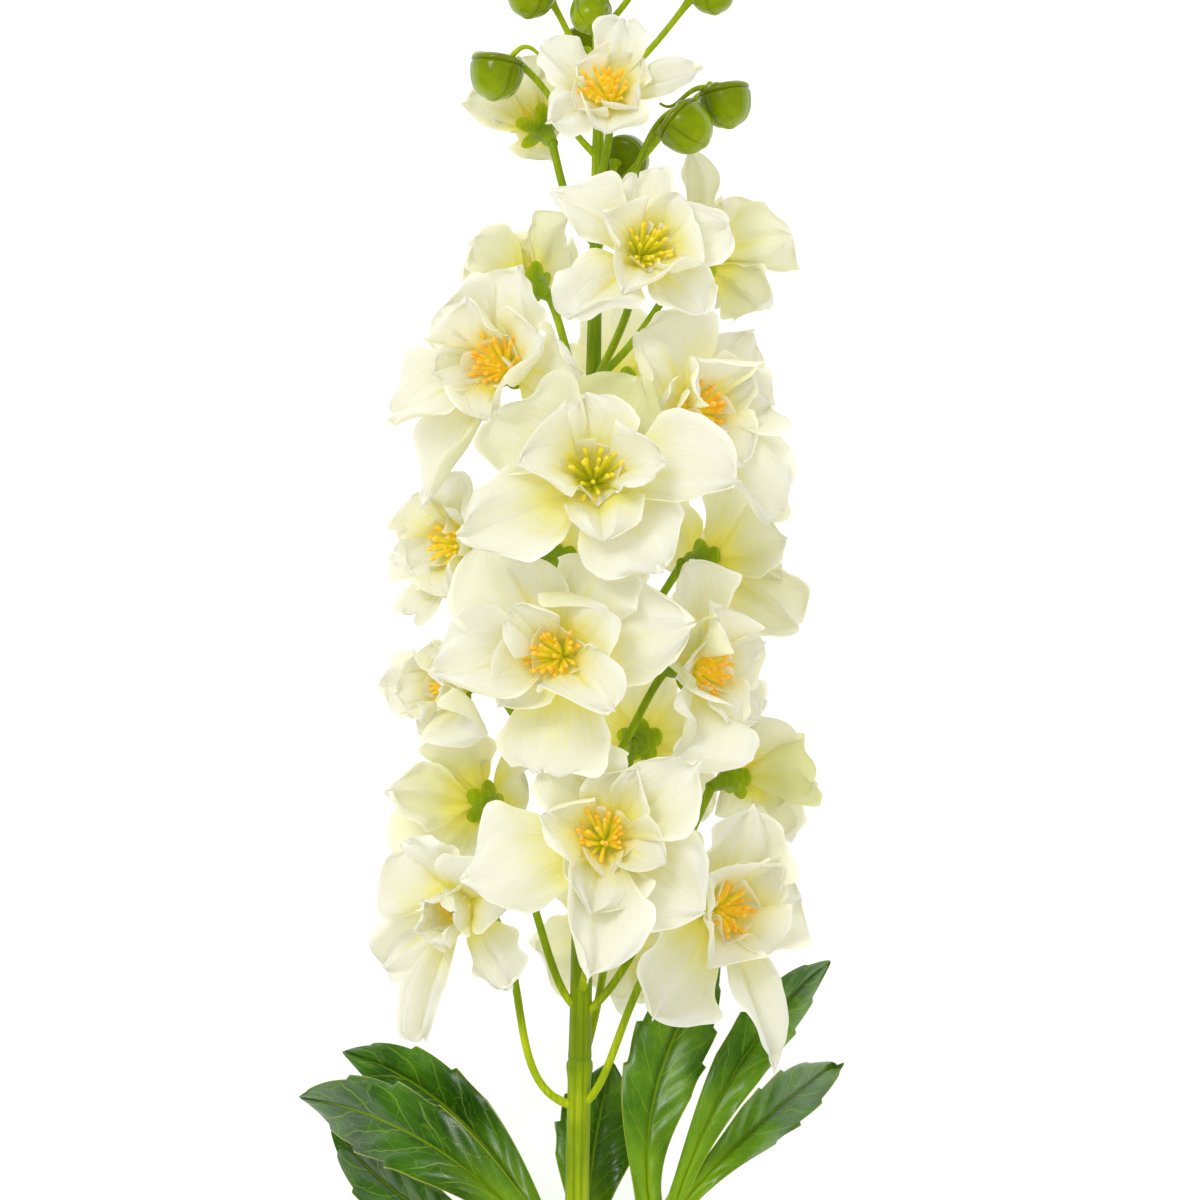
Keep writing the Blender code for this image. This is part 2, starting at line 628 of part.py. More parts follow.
def add_bud(number, spot, points_to, radius, drop, collection):
    """A closed bud: a lobed ball, flat where its sepals meet, on its own stalk."""
    aim = Vector(points_to).normalized()
    centre = Vector(spot)
    bm = bmesh.new()
    bmesh.ops.create_uvsphere(bm, u_segments=BUD_SIDES, v_segments=BUD_RINGS, radius=1.0)
    for vertex in bm.verts:
        across = math.hypot(vertex.co.x, vertex.co.y)
        angle = math.atan2(vertex.co.y, vertex.co.x)
        lobe = 1 + BUD_LOBE_DEPTH * math.cos(BUD_LOBES * angle) * across
        taper = 1 + 0.16 * vertex.co.z
        vertex.co.x *= lobe * taper
        vertex.co.y *= lobe * taper
        vertex.co.z *= BUD_LENGTH
    turn = aim.to_track_quat("Z", "Y").to_matrix().to_4x4()
    move = Matrix.Translation(place(centre)) @ turn @ Matrix.Scale(radius * MM, 4)
    bmesh.ops.transform(bm, matrix=move, verts=bm.verts[:])
    new_object(f"bud_{number}", mesh_from(bm, "bud"), collection)
    seat = centre - aim * radius * 0.8
    path = stalk_from(spot[1] - drop, seat, aim, 3)
    tube(f"bud_{number}_stalk", path, [BUD_STALK_RADIUS] * 4, 0, collection)


def add_stamens(bloom, number, collection):
    """The tuft: stamens fanned out from a low round base that sits on the petals' receptacle."""
    chance = random.Random(500 + number)
    foot = bloom.throat + bloom.facing * (RECEPTACLE_HEIGHT + SEAT_GAP)
    top = foot + bloom.facing * TUFT_HEIGHT
    base = cone(bloom.name + "_stamens", foot, top, TUFT_RADIUS, TUFT_RADIUS * 0.8, TUFT_SIDES, collection)
    extra = bpy.data.collections.new(bloom.name + "_stamen_pieces")
    bpy.context.scene.collection.children.link(extra)
    for index in range(STAMEN_COUNT):
        turn = 2 * math.pi * index / (STAMEN_COUNT - 1) + 0.4
        lean = math.radians(0 if index == STAMEN_COUNT - 1 else STAMEN_SPREAD * chance.uniform(0.6, 1.0))
        outward = bloom.right * math.cos(turn) + bloom.up * math.sin(turn)
        start = foot + bloom.facing * 0.4 + outward * (0.0 if lean == 0 else 0.8)
        way = bloom.facing * math.cos(lean) + outward * math.sin(lean)
        tip = start + way * STAMEN_LENGTH * bloom.reach / 32 * chance.uniform(0.9, 1.1)
        cone(f"{bloom.name}_stamen_{index}", start, tip, STAMEN_RADIUS, 0.0, 3, extra)
    return base, extra


def add_petals(bloom, number, collection):
    top = bloom.throat + bloom.facing * RECEPTACLE_HEIGHT
    radii = (RECEPTACLE_RADIUS, RECEPTACLE_TOP_RADIUS)
    base = cone(bloom.name + "_petals", bloom.throat, top, *radii, RECEPTACLE_SIDES, collection)
    extra = bpy.data.collections.new(bloom.name + "_petal_pieces")
    bpy.context.scene.collection.children.link(extra)
    walls = rooms(bloom)
    every = petals(bloom, number)
    for index, settings in enumerate(every):
        grid = OUTER_GRID if settings["layer"] == "outer" else INNER_GRID
        surface = petal_surface(bloom, settings, walls + sector(bloom, settings, every))
        blade(f"{bloom.name}_petal_{index}", surface, grid, PETAL_THICKNESS, extra)
    return base, extra


def add_stem(collection):
    """The main stalk with every flower stalk, calyx and bud grown from it."""
    step = (STALK_TIP - STALK_CUT) / (STALK_POINTS - 1)
    heights = [STALK_CUT + step * index for index in range(STALK_POINTS)]
    heights = sorted(heights + [KNUCKLE_AT - 4, KNUCKLE_AT, KNUCKLE_AT + 4])
    base = tube("stem", [stalk_axis(y) for y in heights], [stalk_radius(y) for y in heights], 2, collection)
    extra = bpy.data.collections.new("stem_pieces")
    bpy.context.scene.collection.children.link(extra)
    for bloom in BLOOMS:
        add_calyx(bloom, extra)
        end = calyx_foot(bloom) + bloom.facing * 1.0
        path = stalk_from(bloom.throat.y - bloom.drop, end, bloom.facing, 3)
        radii = [FLOWER_STALK_RADIUS * (1.25 - 0.25 * min(index, 1)) for index in range(4)]
        tube(bloom.name + "_stalk", path, radii, 0, extra)
    for number, bud in enumerate(BUDS):
        add_bud(number, *bud, extra)
    for number, spur in enumerate(SPURS):
        ends = [Vector(end) for end in spur]
        path = [bezier(*ends, index / 4) for index in range(5)]
        radii = [SPUR_RADIUS + (SPUR_TIP_RADIUS - SPUR_RADIUS) * index / 4 for index in range(5)]
        tube(f"spur_{number}", path, radii, 0, extra)
    return base, extra


def lobe_surface(start, bend, tip, width):
    """One lobe of a leaf: a rib from start past bend to tip, a blade folded along it, and toothed edges."""
    start, bend, tip = Vector(start), Vector(bend), Vector(tip)

    def surface(u, v, skin):
        a, b, c = (np.array(p) for p in (start, bend, tip))
        t = v[:, None]
        rib = a * (1 - t) ** 2 + 2 * b * t * (1 - t) + c * t**2
        along = 2 * (b - a) * (1 - t) + 2 * (c - b) * t
        along /= np.linalg.norm(along, axis=1)[:, None]
        side = np.cross(along, np.array([0.0, 0.0, 1.0]))
        side /= np.linalg.norm(side, axis=1)[:, None]
        normal = np.cross(side, along)
        swell = np.sin(np.pi * np.clip(v, 0, 1) ** 1.5) ** 0.85
        notch = (np.round(v * LEAF_GRID[1]) % 2 == 1) & (v > LEAF_TEETH_FROM) & (np.abs(u) > 0.9)
        half = 0.5 * width * (0.12 * (1 - v) + 0.04 + 0.92 * swell * np.where(notch, 1 - LEAF_TOOTH, 1))
        lift = half * 0.42 * np.abs(u) - half * 0.30 * u**2
        points = rib + side * (half * u)[:, None] + normal * lift[:, None]
        points[:, 2] = np.maximum(points[:, 2], skin - STALK_HEIGHT)
        return points

    return surface


def add_leaf(name, joint, parting, lobes, collection):
    """A leaf: its petiole, seated against the stalk, and the lobes that spread from the parting."""
    joint, parting = Vector(joint), Vector(parting)
    way = (parting - joint).normalized()
    path = [joint, joint.lerp(parting, 0.5) + Vector((0, 0, 1)), parting + way * 4]
    base = tube(name, path, [PETIOLE_RADIUS, PETIOLE_RADIUS * 0.9, PETIOLE_RADIUS * 0.6], 1, collection)
    extra = bpy.data.collections.new(name + "_pieces")
    bpy.context.scene.collection.children.link(extra)
    for index, (tip, bend, width) in enumerate(lobes):
        start = parting - way * 1.5
        surface = lobe_surface(start, bend, tip, width)
        blade(f"{name}_lobe_{index}", surface, LEAF_GRID, LEAF_THICKNESS, extra)
    return base, extra


def fuse(jobs):
    """Joins each base with its collection of pieces, then removes the pieces."""
    for base, extra in jobs:
        union = base.modifiers.new("grown_together", "BOOLEAN")
        union.operation = "UNION"
        union.solver = "MANIFOLD"
        union.operand_type = "COLLECTION"
        union.collection = extra
    bpy.context.view_layer.update()
    graph = bpy.context.evaluated_depsgraph_get()
    for base, extra in jobs:
        joined = bpy.data.meshes.new_from_object(base.evaluated_get(graph))
        joined.name = base.name
        base.modifiers.clear()
        base.data = joined
    for base, extra in jobs:
        for piece in list(extra.objects):
            bpy.data.objects.remove(piece)
        bpy.data.collections.remove(extra)


def finish_objects(jobs, materials):
    """Gives each node the material of its kind, and presses what all but touches the table flat on it."""
    for base, _ in jobs:
        kind = next(kind for kind in materials if kind in base.name)
        base.data.materials.clear()
        base.data.materials.append(materials[kind])
        for vertex in base.data.vertices:
            if vertex.co.z < PRESSED_WITHIN * MM:
                vertex.co.z = 0.0


def main():
    clear_scene()
    spike = bpy.data.collections.new("delphinium_spike")
    bpy.context.scene.collection.children.link(spike)
    jobs = [add_stem(spike)]
    for name, leaf in LEAVES.items():
        jobs.append(add_leaf(name, leaf["joint"], leaf["parting"], leaf["lobes"], spike))
    for number, bloom in enumerate(BLOOMS):
        jobs.append(add_petals(bloom, number, spike))
        jobs.append(add_stamens(bloom, number, spike))
    fuse(jobs)
    materials = {
        "stem": material("stem_green", STEM_GREEN, 0.45),
        "leaf": material("leaf_green", LEAF_GREEN, 0.35),
        "petals": material("petal_cream", PETAL_CREAM, 0.6),
        "stamens": material("stamen_yellow", STAMEN_YELLOW, 0.6),
    }
    finish_objects(jobs, materials)


main()
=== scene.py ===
# %% [markdown]
# A delphinium spike in cream, cut and laid on its back on a white table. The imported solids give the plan: a
# stalk along +Y, twenty-two blooms on thin flower stalks, closed buds at the tip and three leaves below.
# They are coarse, so this script grows finer petals, stamens, calyces, buds and leaves in the same places.
# The camera looks straight down, because the flowers face up from the table.

import math
import random

import bpy
import numpy as np
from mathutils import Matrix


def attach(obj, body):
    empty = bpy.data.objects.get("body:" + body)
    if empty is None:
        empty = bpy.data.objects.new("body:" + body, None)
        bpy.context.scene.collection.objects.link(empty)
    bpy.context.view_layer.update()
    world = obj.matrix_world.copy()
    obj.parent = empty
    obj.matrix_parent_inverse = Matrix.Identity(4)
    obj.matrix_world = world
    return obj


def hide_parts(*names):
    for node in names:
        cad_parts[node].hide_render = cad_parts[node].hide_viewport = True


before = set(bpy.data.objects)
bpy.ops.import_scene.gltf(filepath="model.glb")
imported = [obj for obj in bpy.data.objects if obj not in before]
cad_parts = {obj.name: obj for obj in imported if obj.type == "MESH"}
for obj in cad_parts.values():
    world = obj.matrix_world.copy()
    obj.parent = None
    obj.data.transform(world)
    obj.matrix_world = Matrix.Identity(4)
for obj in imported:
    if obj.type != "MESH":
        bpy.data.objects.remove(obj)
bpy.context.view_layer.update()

# %% [markdown]
# Everything below is worked out in millimetres, measured from the middle of the spike on the stalk's axis,
# so that a flower can be placed by its offset from the stalk. One offset turns such a place into metres on
# the table. The numbers are the ones that the solids were built from.

# %% Plan of the spike
MM = 0.001
STALK_HEIGHT = 51.0
ORIGIN = np.array([10.0, 36.7, STALK_HEIGHT])
STALK_CUT = -307.0
STALK_TIP = 222.0
STALK_LEAN = 0.02
STALK_UPRIGHT_AT = 177.0
KNUCKLE_AT = -149.0


def stalk_axis(y):
    """The stalk's middle at each y: a straight line that leans slightly towards +X as it climbs."""
    y = np.asarray(y, float)
    return np.stack([STALK_LEAN * (y - STALK_UPRIGHT_AT), y, np.zeros_like(y)], axis=-1)


def stalk_radius(y):
    """4.2 mm at the cut, thinning as share ** 1.4 to 1.3 mm at the tip, with a swelling at the knuckle."""
    share = np.clip((np.asarray(y, float) - STALK_CUT) / (STALK_TIP - STALK_CUT), 0, 1)
    return (4.2 - 2.9 * share**1.4) * (1 + 0.16 * np.exp(-(((y - KNUCKLE_AT) / 3.0) ** 2)))


def unit(vector):
    """The vector, or each vector of an array, at length 1."""
    vector = np.asarray(vector, float)
    return vector / np.linalg.norm(vector, axis=-1, keepdims=True)


print("stalk:", STALK_TIP - STALK_CUT, "mm long,", 2 * float(stalk_radius(-250.0)), "mm thick near the cut")

# %% [markdown]
# A bloom is a place where its petals meet, a direction that it faces, a reach, and its petals. Five wide
# outer petals are given one by one, because they make the flower's outline. Four inner petals stand up
# round the stamens, with small heart petals inside them. Small differences between petals come from a
# random draw that is seeded with the bloom's number, so each run grows the same flowers.


# %% The blooms
class Bloom:
    """throat is where the petals meet and reach how far they go. outer holds (turn in degrees from the
    bloom's right, length, width) for each outer petal. rise and droop are a petal's pitch in degrees at its
    foot and its tip, drop is how far below the throat the flower stalk sets out, cup deepens the petals,
    glow warms the stamens, and closed goes from 0 for an open flower to 1 for a shut one."""

    def __init__(self, name, throat, facing, reach, outer, inner_turn, rise, droop, drop, cup=1.0, glow=0.5,
                 closed=0.0):
        self.name = name
        self.throat = np.array(throat, float)
        self.facing = unit(facing)
        self.reach = reach
        self.outer = outer
        self.inner_turn = inner_turn
        self.rise = rise
        self.droop = droop
        self.drop = drop
        self.cup = cup
        self.glow = glow
        self.closed = closed
        self.up = unit(np.array([0, 1, 0]) - self.facing * self.facing[1])
        self.right = np.cross(self.up, self.facing)

    def middle(self):
        """The middle of the flower's bulk, a little in front of its throat."""
        return self.throat + self.facing * 0.22 * self.reach

    def around(self, turn):
        """The direction across the bloom at turn radians from its right."""
        return self.right * math.cos(turn) + self.up * math.sin(turn)


def ring(turn, *lengths):
    """Outer petals spaced evenly, the first at turn degrees."""
    return [(turn + 360 / len(lengths) * place, length, 1.0) for place, length in enumerate(lengths)]


BLOOMS = [
    Bloom(
        "top_front", throat=(3, 157, 27), facing=(0.0, 0.50, 0.87), reach=24,
        outer=[(142, 0.96, 0.9), (78, 0.95, 0.8), (14, 1.05, 0.55), (268, 0.9, 1.0), (210, 0.75, 0.8)],
        inner_turn=45, rise=34, droop=0, drop=26, glow=0.8,
    ),
    Bloom(
        "top_left", throat=(-19, 152, -14), facing=(-0.35, 0.50, -0.79), reach=20,
        outer=[(13, 1.0, 1.05), (62, 0.92, 1.0), (120, 0.8, 1.0), (178, 0.75, 1.0), (240, 1.15, 0.85)],
        inner_turn=10, rise=40, droop=5, drop=38,
    ),
    Bloom(
        "upper_front", throat=(13, 107, 38), facing=(0.15, 0.35, 0.92), reach=28,
        outer=[(222, 1.15, 1.1), (146, 1.05, 0.85), (92, 0.95, 0.75), (17, 0.88, 0.9), (310, 0.85, 1.0)],
        inner_turn=60, rise=30, droop=-5, drop=38, glow=0.2,
    ),
    Bloom(
        "upper_right", throat=(32, 110, -16), facing=(0.66, 0.42, -0.62), reach=28,
        outer=[(94, 1.05, 0.5), (178, 0.94, 1.0), (230, 0.78, 0.95), (290, 0.7, 0.9), (15, 0.8, 0.9)],
        inner_turn=25, rise=35, droop=0, drop=40,
    ),
    Bloom(
        "upper_left", throat=(-22, 102, -24), facing=(-0.55, 0.40, -0.73), reach=26,
        outer=[(122, 0.86, 0.7), (30, 0.76, 0.9), (330, 0.85, 1.0), (260, 1.0, 1.0), (190, 1.0, 1.0)],
        inner_turn=20, rise=36, droop=0, drop=40,
    ),
    Bloom(
        "left_high", throat=(-29, 73, 34), facing=(-0.42, 0.12, 0.90), reach=32,
        outer=[(140, 0.74, 1.1), (76, 0.86, 0.95), (350, 0.95, 1.05), (209, 1.06, 0.85), (250, 1.4, 0.55)],
        inner_turn=15, rise=30, droop=-8, drop=38, glow=1.0,
    ),
    Bloom(
        "right_high", throat=(27, 60, 24), facing=(0.60, 0.03, 0.80), reach=32,
        outer=[(129, 1.08, 1.15), (192, 1.0, 1.0), (50, 0.84, 0.85), (4, 0.76, 0.85), (304, 1.26, 0.85)],
        inner_turn=40, rise=30, droop=-8, drop=40, glow=1.0,
    ),
    Bloom(
        "middle_front", throat=(-2, 36, 50), facing=(0.02, 0.38, 0.92), reach=36,
        outer=[(209, 1.25, 1.0), (143, 1.0, 1.0), (66, 0.95, 1.05), (358, 1.2, 0.95), (306, 0.9, 1.0)],
        inner_turn=90, rise=24, droop=-4, drop=42, glow=0.1,
    ),
    Bloom(
        "left_middle", throat=(-41, 18, 8), facing=(-0.77, -0.06, 0.63), reach=29,
        outer=[(243, 1.48, 0.55), (190, 0.85, 0.7), (135, 0.6, 0.8), (62, 0.85, 1.0), (316, 0.5, 0.85)],
        inner_turn=20, rise=32, droop=-6, drop=40,
    ),
    Bloom(
        "right_middle", throat=(33, 12, -18), facing=(0.62, 0.02, -0.78), reach=31,
        outer=[(22, 1.0, 1.0), (95, 0.95, 1.0), (165, 0.76, 0.85), (217, 1.04, 0.8), (294, 0.9, 1.0)],
        inner_turn=10, rise=34, droop=-6, drop=40,
    ),
    Bloom(
        "centre_front", throat=(-12, -18, 46), facing=(-0.10, 0.10, 0.99), reach=34,
        outer=[(120, 1.1, 1.1), (66, 1.15, 1.0), (14, 1.1, 1.1), (190, 1.1, 1.0), (266, 1.2, 1.05)],
        inner_turn=52, rise=28, droop=-6, drop=42, glow=0.7,
    ),
    Bloom(
        "left_low", throat=(-44, -27, 10), facing=(-0.80, -0.08, 0.60), reach=25,
        outer=[(35, 0.88, 1.0), (110, 0.5, 0.9), (180, 0.95, 1.0), (250, 0.56, 0.85), (325, 0.96, 1.0)],
        inner_turn=5, rise=36, droop=0, drop=40, closed=0.4,
    ),
    Bloom(
        "right_centre", throat=(28, -22, 20), facing=(0.70, 0.05, 0.71), reach=31,
        outer=[(106, 1.15, 0.65), (164, 0.95, 0.9), (236, 1.15, 1.1), (318, 0.74, 0.9), (44, 0.6, 0.85)],
        inner_turn=15, rise=34, droop=-4, drop=40, glow=0.9,
    ),
    Bloom(
        "left_under", throat=(-37, -66, -20), facing=(-0.60, 0.12, -0.79), reach=28,
        outer=[(6, 0.96, 0.9), (80, 0.85, 1.0), (159, 1.0, 1.0), (231, 1.0, 1.0), (303, 0.92, 0.9)],
        inner_turn=30, rise=34, droop=-4, drop=50,
    ),
    Bloom(
        "right_under", throat=(43, -57, -14), facing=(0.70, 0.28, -0.65), reach=27,
        outer=[(42, 0.9, 1.0), (118, 0.74, 0.95), (186, 0.92, 0.85), (256, 0.86, 1.0), (328, 0.9, 1.0)],
        inner_turn=35, rise=36, droop=-2, drop=48,
    ),
    Bloom(
        "low_front", throat=(1, -76, 47), facing=(0.05, 0.22, 0.97), reach=34,
        outer=[(196, 1.18, 1.05), (262, 1.18, 0.8), (322, 1.02, 1.05), (38, 0.98, 0.95), (112, 0.95, 1.0)],
        inner_turn=70, rise=28, droop=-6, drop=50, glow=0.7,
    ),
    Bloom(
        "bottom_left", throat=(-43, -96, 20), facing=(-0.42, -0.22, 0.88), reach=30,
        outer=[(216, 1.0, 0.75), (250, 1.38, 0.52), (302, 0.85, 0.8), (20, 0.82, 1.0), (128, 0.72, 1.15)],
        inner_turn=25, rise=30, droop=-6, drop=66, cup=1.4, closed=0.75,
    ),
    Bloom(
        "bottom_right", throat=(36, -98, 20), facing=(0.50, -0.02, 0.86), reach=33,
        outer=[(230, 1.12, 1.1), (284, 1.36, 0.58), (142, 0.92, 0.95), (78, 0.88, 1.0), (8, 0.72, 0.95)],
        inner_turn=50, rise=30, droop=-8, drop=64, glow=0.9,
    ),
    Bloom(
        "back_high", throat=(8, 68, -36), facing=(0.10, 0.08, -1.0), reach=26,
        outer=ring(80, 1, 1, 1, 1, 1),
        inner_turn=30, rise=20, droop=0, drop=36,
    ),
    Bloom(
        "back_middle", throat=(-14, 12, -37), facing=(-0.22, 0.05, -0.97), reach=27,
        outer=ring(50, 1, 1, 1, 1, 1),
        inner_turn=5, rise=20, droop=0, drop=38,
    ),
    Bloom(
        "back_centre", throat=(13, -46, -37), facing=(0.18, 0.0, -0.98), reach=28,
        outer=ring(20, 1, 1, 1, 1, 1),
        inner_turn=20, rise=20, droop=0, drop=38,
    ),
    Bloom(
        "back_low", throat=(4, -108, -37), facing=(0.10, -0.1, -0.99), reach=29,
        outer=[(60, 1.0, 1.0), (132, 1.0, 1.0), (204, 0.74, 1.0), (276, 0.55, 1.0), (348, 0.78, 1.0)],
        inner_turn=15, rise=20, droop=0, drop=42,
    ),
]
print("blooms:", len(BLOOMS))

# %% [markdown]
# A petal, a leaf lobe, a tube and a bud are all sheets of points on a grid. One helper lays faces on such a
# grid, and one turns points and faces into a mesh in metres. Thin blades are closed by giving the grid a
# back: the back shares the front's rim, so the edge is as fine as on a real petal and nothing is left open.
# Tubes and buds are rings of points, closed by a fan of triangles at each end.


# %% Meshes from grids of points
SHARP_FROM = 70


def grid_quads(rows, columns, wrap=False):
    """Corners of each face of a grid of points numbered by rows. wrap joins the last column to the first."""
    number = np.arange(rows * columns).reshape(rows, columns)
    right = np.roll(number, -1, axis=1)
    if not wrap:
        number, right = number[:, :-1], right[:, :-1]
    return np.stack([number[:-1], right[:-1], right[1:], number[1:]], axis=-1).reshape(-1, 4)


class Shape:
    """Points in the spike's millimetres, faces, and per-point values, gathered piece by piece."""

    def __init__(self):
        self.points = []
        self.faces = []
        self.values = []
        self.count = 0

    def add(self, points, *faces, **values):
        """Adds one piece with one or more arrays of faces. Each value is one number or one for each point."""
        self.points.append(points)
        for corners in faces:
            self.faces += (corners + self.count).tolist()
        self.values.append({name: np.broadcast_to(value, len(points)) for name, value in values.items()})
        self.count += len(points)

    def add_rings(self, rings, ends, outwards=True, **values):
        """Adds rings of points, rows by sides, with a fan from the first ring to one end point and from the
        last ring to the other. outwards is False where the rings run the other way round."""
        rows, sides = rings.shape[:2]
        here = np.arange(sides)
        following = (here + 1) % sides
        foot, last = np.full(sides, rows * sides), (rows - 1) * sides
        first_fan = np.stack([foot, following, here], axis=-1)
        last_fan = np.stack([foot + 1, last + here, last + following], axis=-1)
        way = 1 if outwards else -1
        faces = [block[:, ::way] for block in (grid_quads(rows, sides, wrap=True), first_fan, last_fan)]
        self.add(np.concatenate([rings.reshape(-1, 3), ends]), *faces, **values)

    def add_blade(self, front, back, rows, columns, **values):
        """Adds a thin closed blade: a grid for its front, one for its back, joined along the front's rim."""
        number = np.arange(rows * columns).reshape(rows, columns)
        rim = np.zeros((rows, columns), bool)
        rim[[0, -1], :] = True
        rim[:, [0, -1]] = True
        inner = ~rim.ravel()
        behind = number.ravel().copy()
        behind[inner] = rows * columns + np.arange(inner.sum())
        quads = grid_quads(rows, columns)
        both = {}
        for name, value in values.items():
            value = np.broadcast_to(value, rows * columns)
            both[name] = np.concatenate([value, value[inner]])
        both["side"] = np.concatenate([np.ones(rows * columns), -np.ones(inner.sum())])
        self.add(np.concatenate([front, back[inner]]), quads, behind[quads][:, ::-1], **both)

    def make(self, name, replaces, material, slot):
        """Turns what was gathered into one object that rides on the root and stands for the solids
        replaced. Edges that turn by more than SHARP_FROM degrees stay sharp."""
        mesh = bpy.data.meshes.new(name)
        points = (np.concatenate(self.points) + ORIGIN) * MM
        mesh.from_pydata(points.tolist(), [], self.faces)
        for key in self.values[0]:
            layer = mesh.attributes.new(key, "FLOAT", "POINT")
            numbers = np.concatenate([value[key] for value in self.values])
            layer.data.foreach_set("value", numbers.astype(np.float32))
        mesh.polygons.foreach_set("use_smooth", np.ones(len(mesh.polygons), bool))
        mesh.materials.append(material)
        mesh.update()
        mesh.set_sharp_from_angle(angle=math.radians(SHARP_FROM))
        obj = bpy.data.objects.new(name, mesh)
        bpy.context.scene.collection.objects.link(obj)
        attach(obj, "root")
        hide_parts(*replaces)
        return obj


print("grid of 3 by 4 points has", len(grid_quads(3, 4)), "faces")

# %% [markdown]
# Each petal leaves the middle at a steep angle and bends outwards along its rib. Across the rib it is
# cupped, folded a little, waved towards its edge, and one of its edges lies over the next petal, as they do
# in the bud. Its rim is drawn in or out, ruffled and scalloped. The flowers have 261 petals, too many to
# model by hand or to drape as cloth, so one formula with a few numbers per petal does it.


# %% A petal as a formula
def outline(v, bluntness, widest=0.60, claw=0.16):
    """Half width along a petal: claw at v = 0, a sine up to 1 at the widest place, a cosine to the tip."""
    grow = claw + (1 - claw) * np.sin(np.pi / 2 * np.clip(v / widest, 0, 1)) ** 1.15
    close = np.cos(np.pi / 2 * 0.997 * np.clip((v - widest) / (1 - widest), 0, 1)) ** bluntness
    return grow * close


def petal_shape(u, v, p):
    """(out, across, up) in mm: the rib's pitch falls from rise to droop as v ** 1.3, less the tip's curl,
    and the sums of its cosine and sine give the rib. The half width is the outline, made uneven by slow and
    quick sines. Cup u^2, fold |u|, a wave, a hem that lifts the rim, ruffles, pleats and a finer crinkle
    lift the blade from the rib, and a groove lies along it. The edge that lies over a neighbour is cupped
    more than one that lies under, by the two factors in over. twist turns the blade round its rib as v **
    1.5. A point and a scalloped rim lengthen the tip."""
    steps = np.linspace(0, 1, 65)
    curl = p["curl"] * np.clip((steps - 0.7) / 0.3, 0, 1) ** 2
    pitch = np.radians(p["rise"] + (p["droop"] - p["rise"]) * steps**1.3 - curl)
    run = np.concatenate([[0], np.cumsum((np.cos(pitch[1:]) + np.cos(pitch[:-1])) / 2)]) * p["length"] / 64
    climb = np.concatenate([[0], np.cumsum((np.sin(pitch[1:]) + np.sin(pitch[:-1])) / 2)]) * p["length"] / 64
    here = np.interp(v, steps, pitch)
    uneven = 1 + p["lopsided"] * u * v + 0.09 * u**2 * np.sin(7 * v + p["phase"] + 2 * np.sign(u))
    uneven += 0.045 * u**4 * np.sin(19 * v + 3 * p["phase"] + np.sign(u)) * v
    uneven += 0.020 * u**6 * np.sin(47 * v + 5 * p["phase"] + 2 * np.sign(u)) * v
    half = 0.5 * p["width"] * outline(v, p["bluntness"]) * uneven
    side = half * u
    edge = np.abs(u)
    over = np.where(u > 0, p["over"][0], p["over"][1])
    lift = half * (p["cup"] * over * u**2 + p["fold"] * edge)
    lift += p["wave"] * half * u**2 * v * np.sin(7 * v + p["phase"] + 1.6 * u)
    lift += p["hem"] * half * np.clip((edge - 0.6) / 0.4, 0, 1) ** 2 * np.clip(v / 0.4, 0, 1)
    lift += p["ruffle"] * half * edge**3 * v * np.sin(15 * v + 2.3 * p["phase"] + 2.5 * u)
    lift -= 0.4 * np.exp(-((u / 0.10) ** 2)) * np.sin(np.pi * v)
    lift += p["ruffle"] * half * v**3 * np.sin(8 * u + 3.1 * p["phase"])
    lift += p["pleat"] * np.cos(6.5 * u + p["phase"]) * np.sin(np.pi * v**0.7 * 0.85)
    crinkle = np.cos(13 * u + 2.5 * np.sin(4 * v + p["phase"])) * np.sin(2.6 * v + 0.2)
    lift += 0.28 * p["pleat"] * crinkle * np.cos(9 * v + 4 * u + 2 * p["phase"])
    lift += 0.9 * p["pleat"] * v * np.sin(4.5 * u + 2 * p["phase"]) * np.sin(5.0 * v + 1.7 * p["phase"])
    turn = p["twist"] * v**1.5
    across = side * np.cos(turn) - lift * np.sin(turn)
    normal = side * np.sin(turn) + lift * np.cos(turn)
    extra = p["point"] * (1 - u**2) ** 2 * v**4 * p["length"]
    extra += p["scallop"] * p["length"] * np.sin(6.5 * u + 2 * p["phase"]) * v**8
    out = p["root"][0] + np.interp(v, steps, run) + extra * np.cos(here) - normal * np.sin(here)
    up = p["root"][1] + np.interp(v, steps, climb) + extra * np.sin(here) + normal * np.cos(here)
    return out, across, up


print("half width at a third and two thirds:", outline(np.array([0.33, 0.66]), 0.55).round(2).tolist())

# %% [markdown]
# Flowers on a crowded spike press on each other. Each bloom gets a room with a wall halfway to every near
# neighbour, and what would cross a wall is bent back smoothly. The stalk and the table push petals away
# too, which is what flattens the back petals against the table.


# %% Petals bent clear of their neighbours
WALL_TILT = 0.9
OVER_WAY = np.array([0.0, 0.15, 1.0])
STALK_CLEARANCE = 3.0


def rooms(bloom):
    """The walls round a bloom, (point, normal, margin, softness, held from), one towards each near
    neighbour. A wall leans by WALL_TILT, so that of two blooms the upper one spreads its petals over the
    other's."""
    walls = []
    for other in BLOOMS:
        gap = other.middle() - bloom.middle()
        distance = np.linalg.norm(gap)
        if other is bloom or distance > 1.5 * (bloom.reach + other.reach):
            continue
        share = bloom.reach / (bloom.reach + other.reach)
        over = 1 if bloom.middle() @ OVER_WAY > other.middle() @ OVER_WAY else -1
        normal = unit(gap / distance - np.array([0, 0, WALL_TILT * over]))
        walls.append((bloom.middle() + gap * share, normal, 0.4, 2.0, 0.3))
    return walls


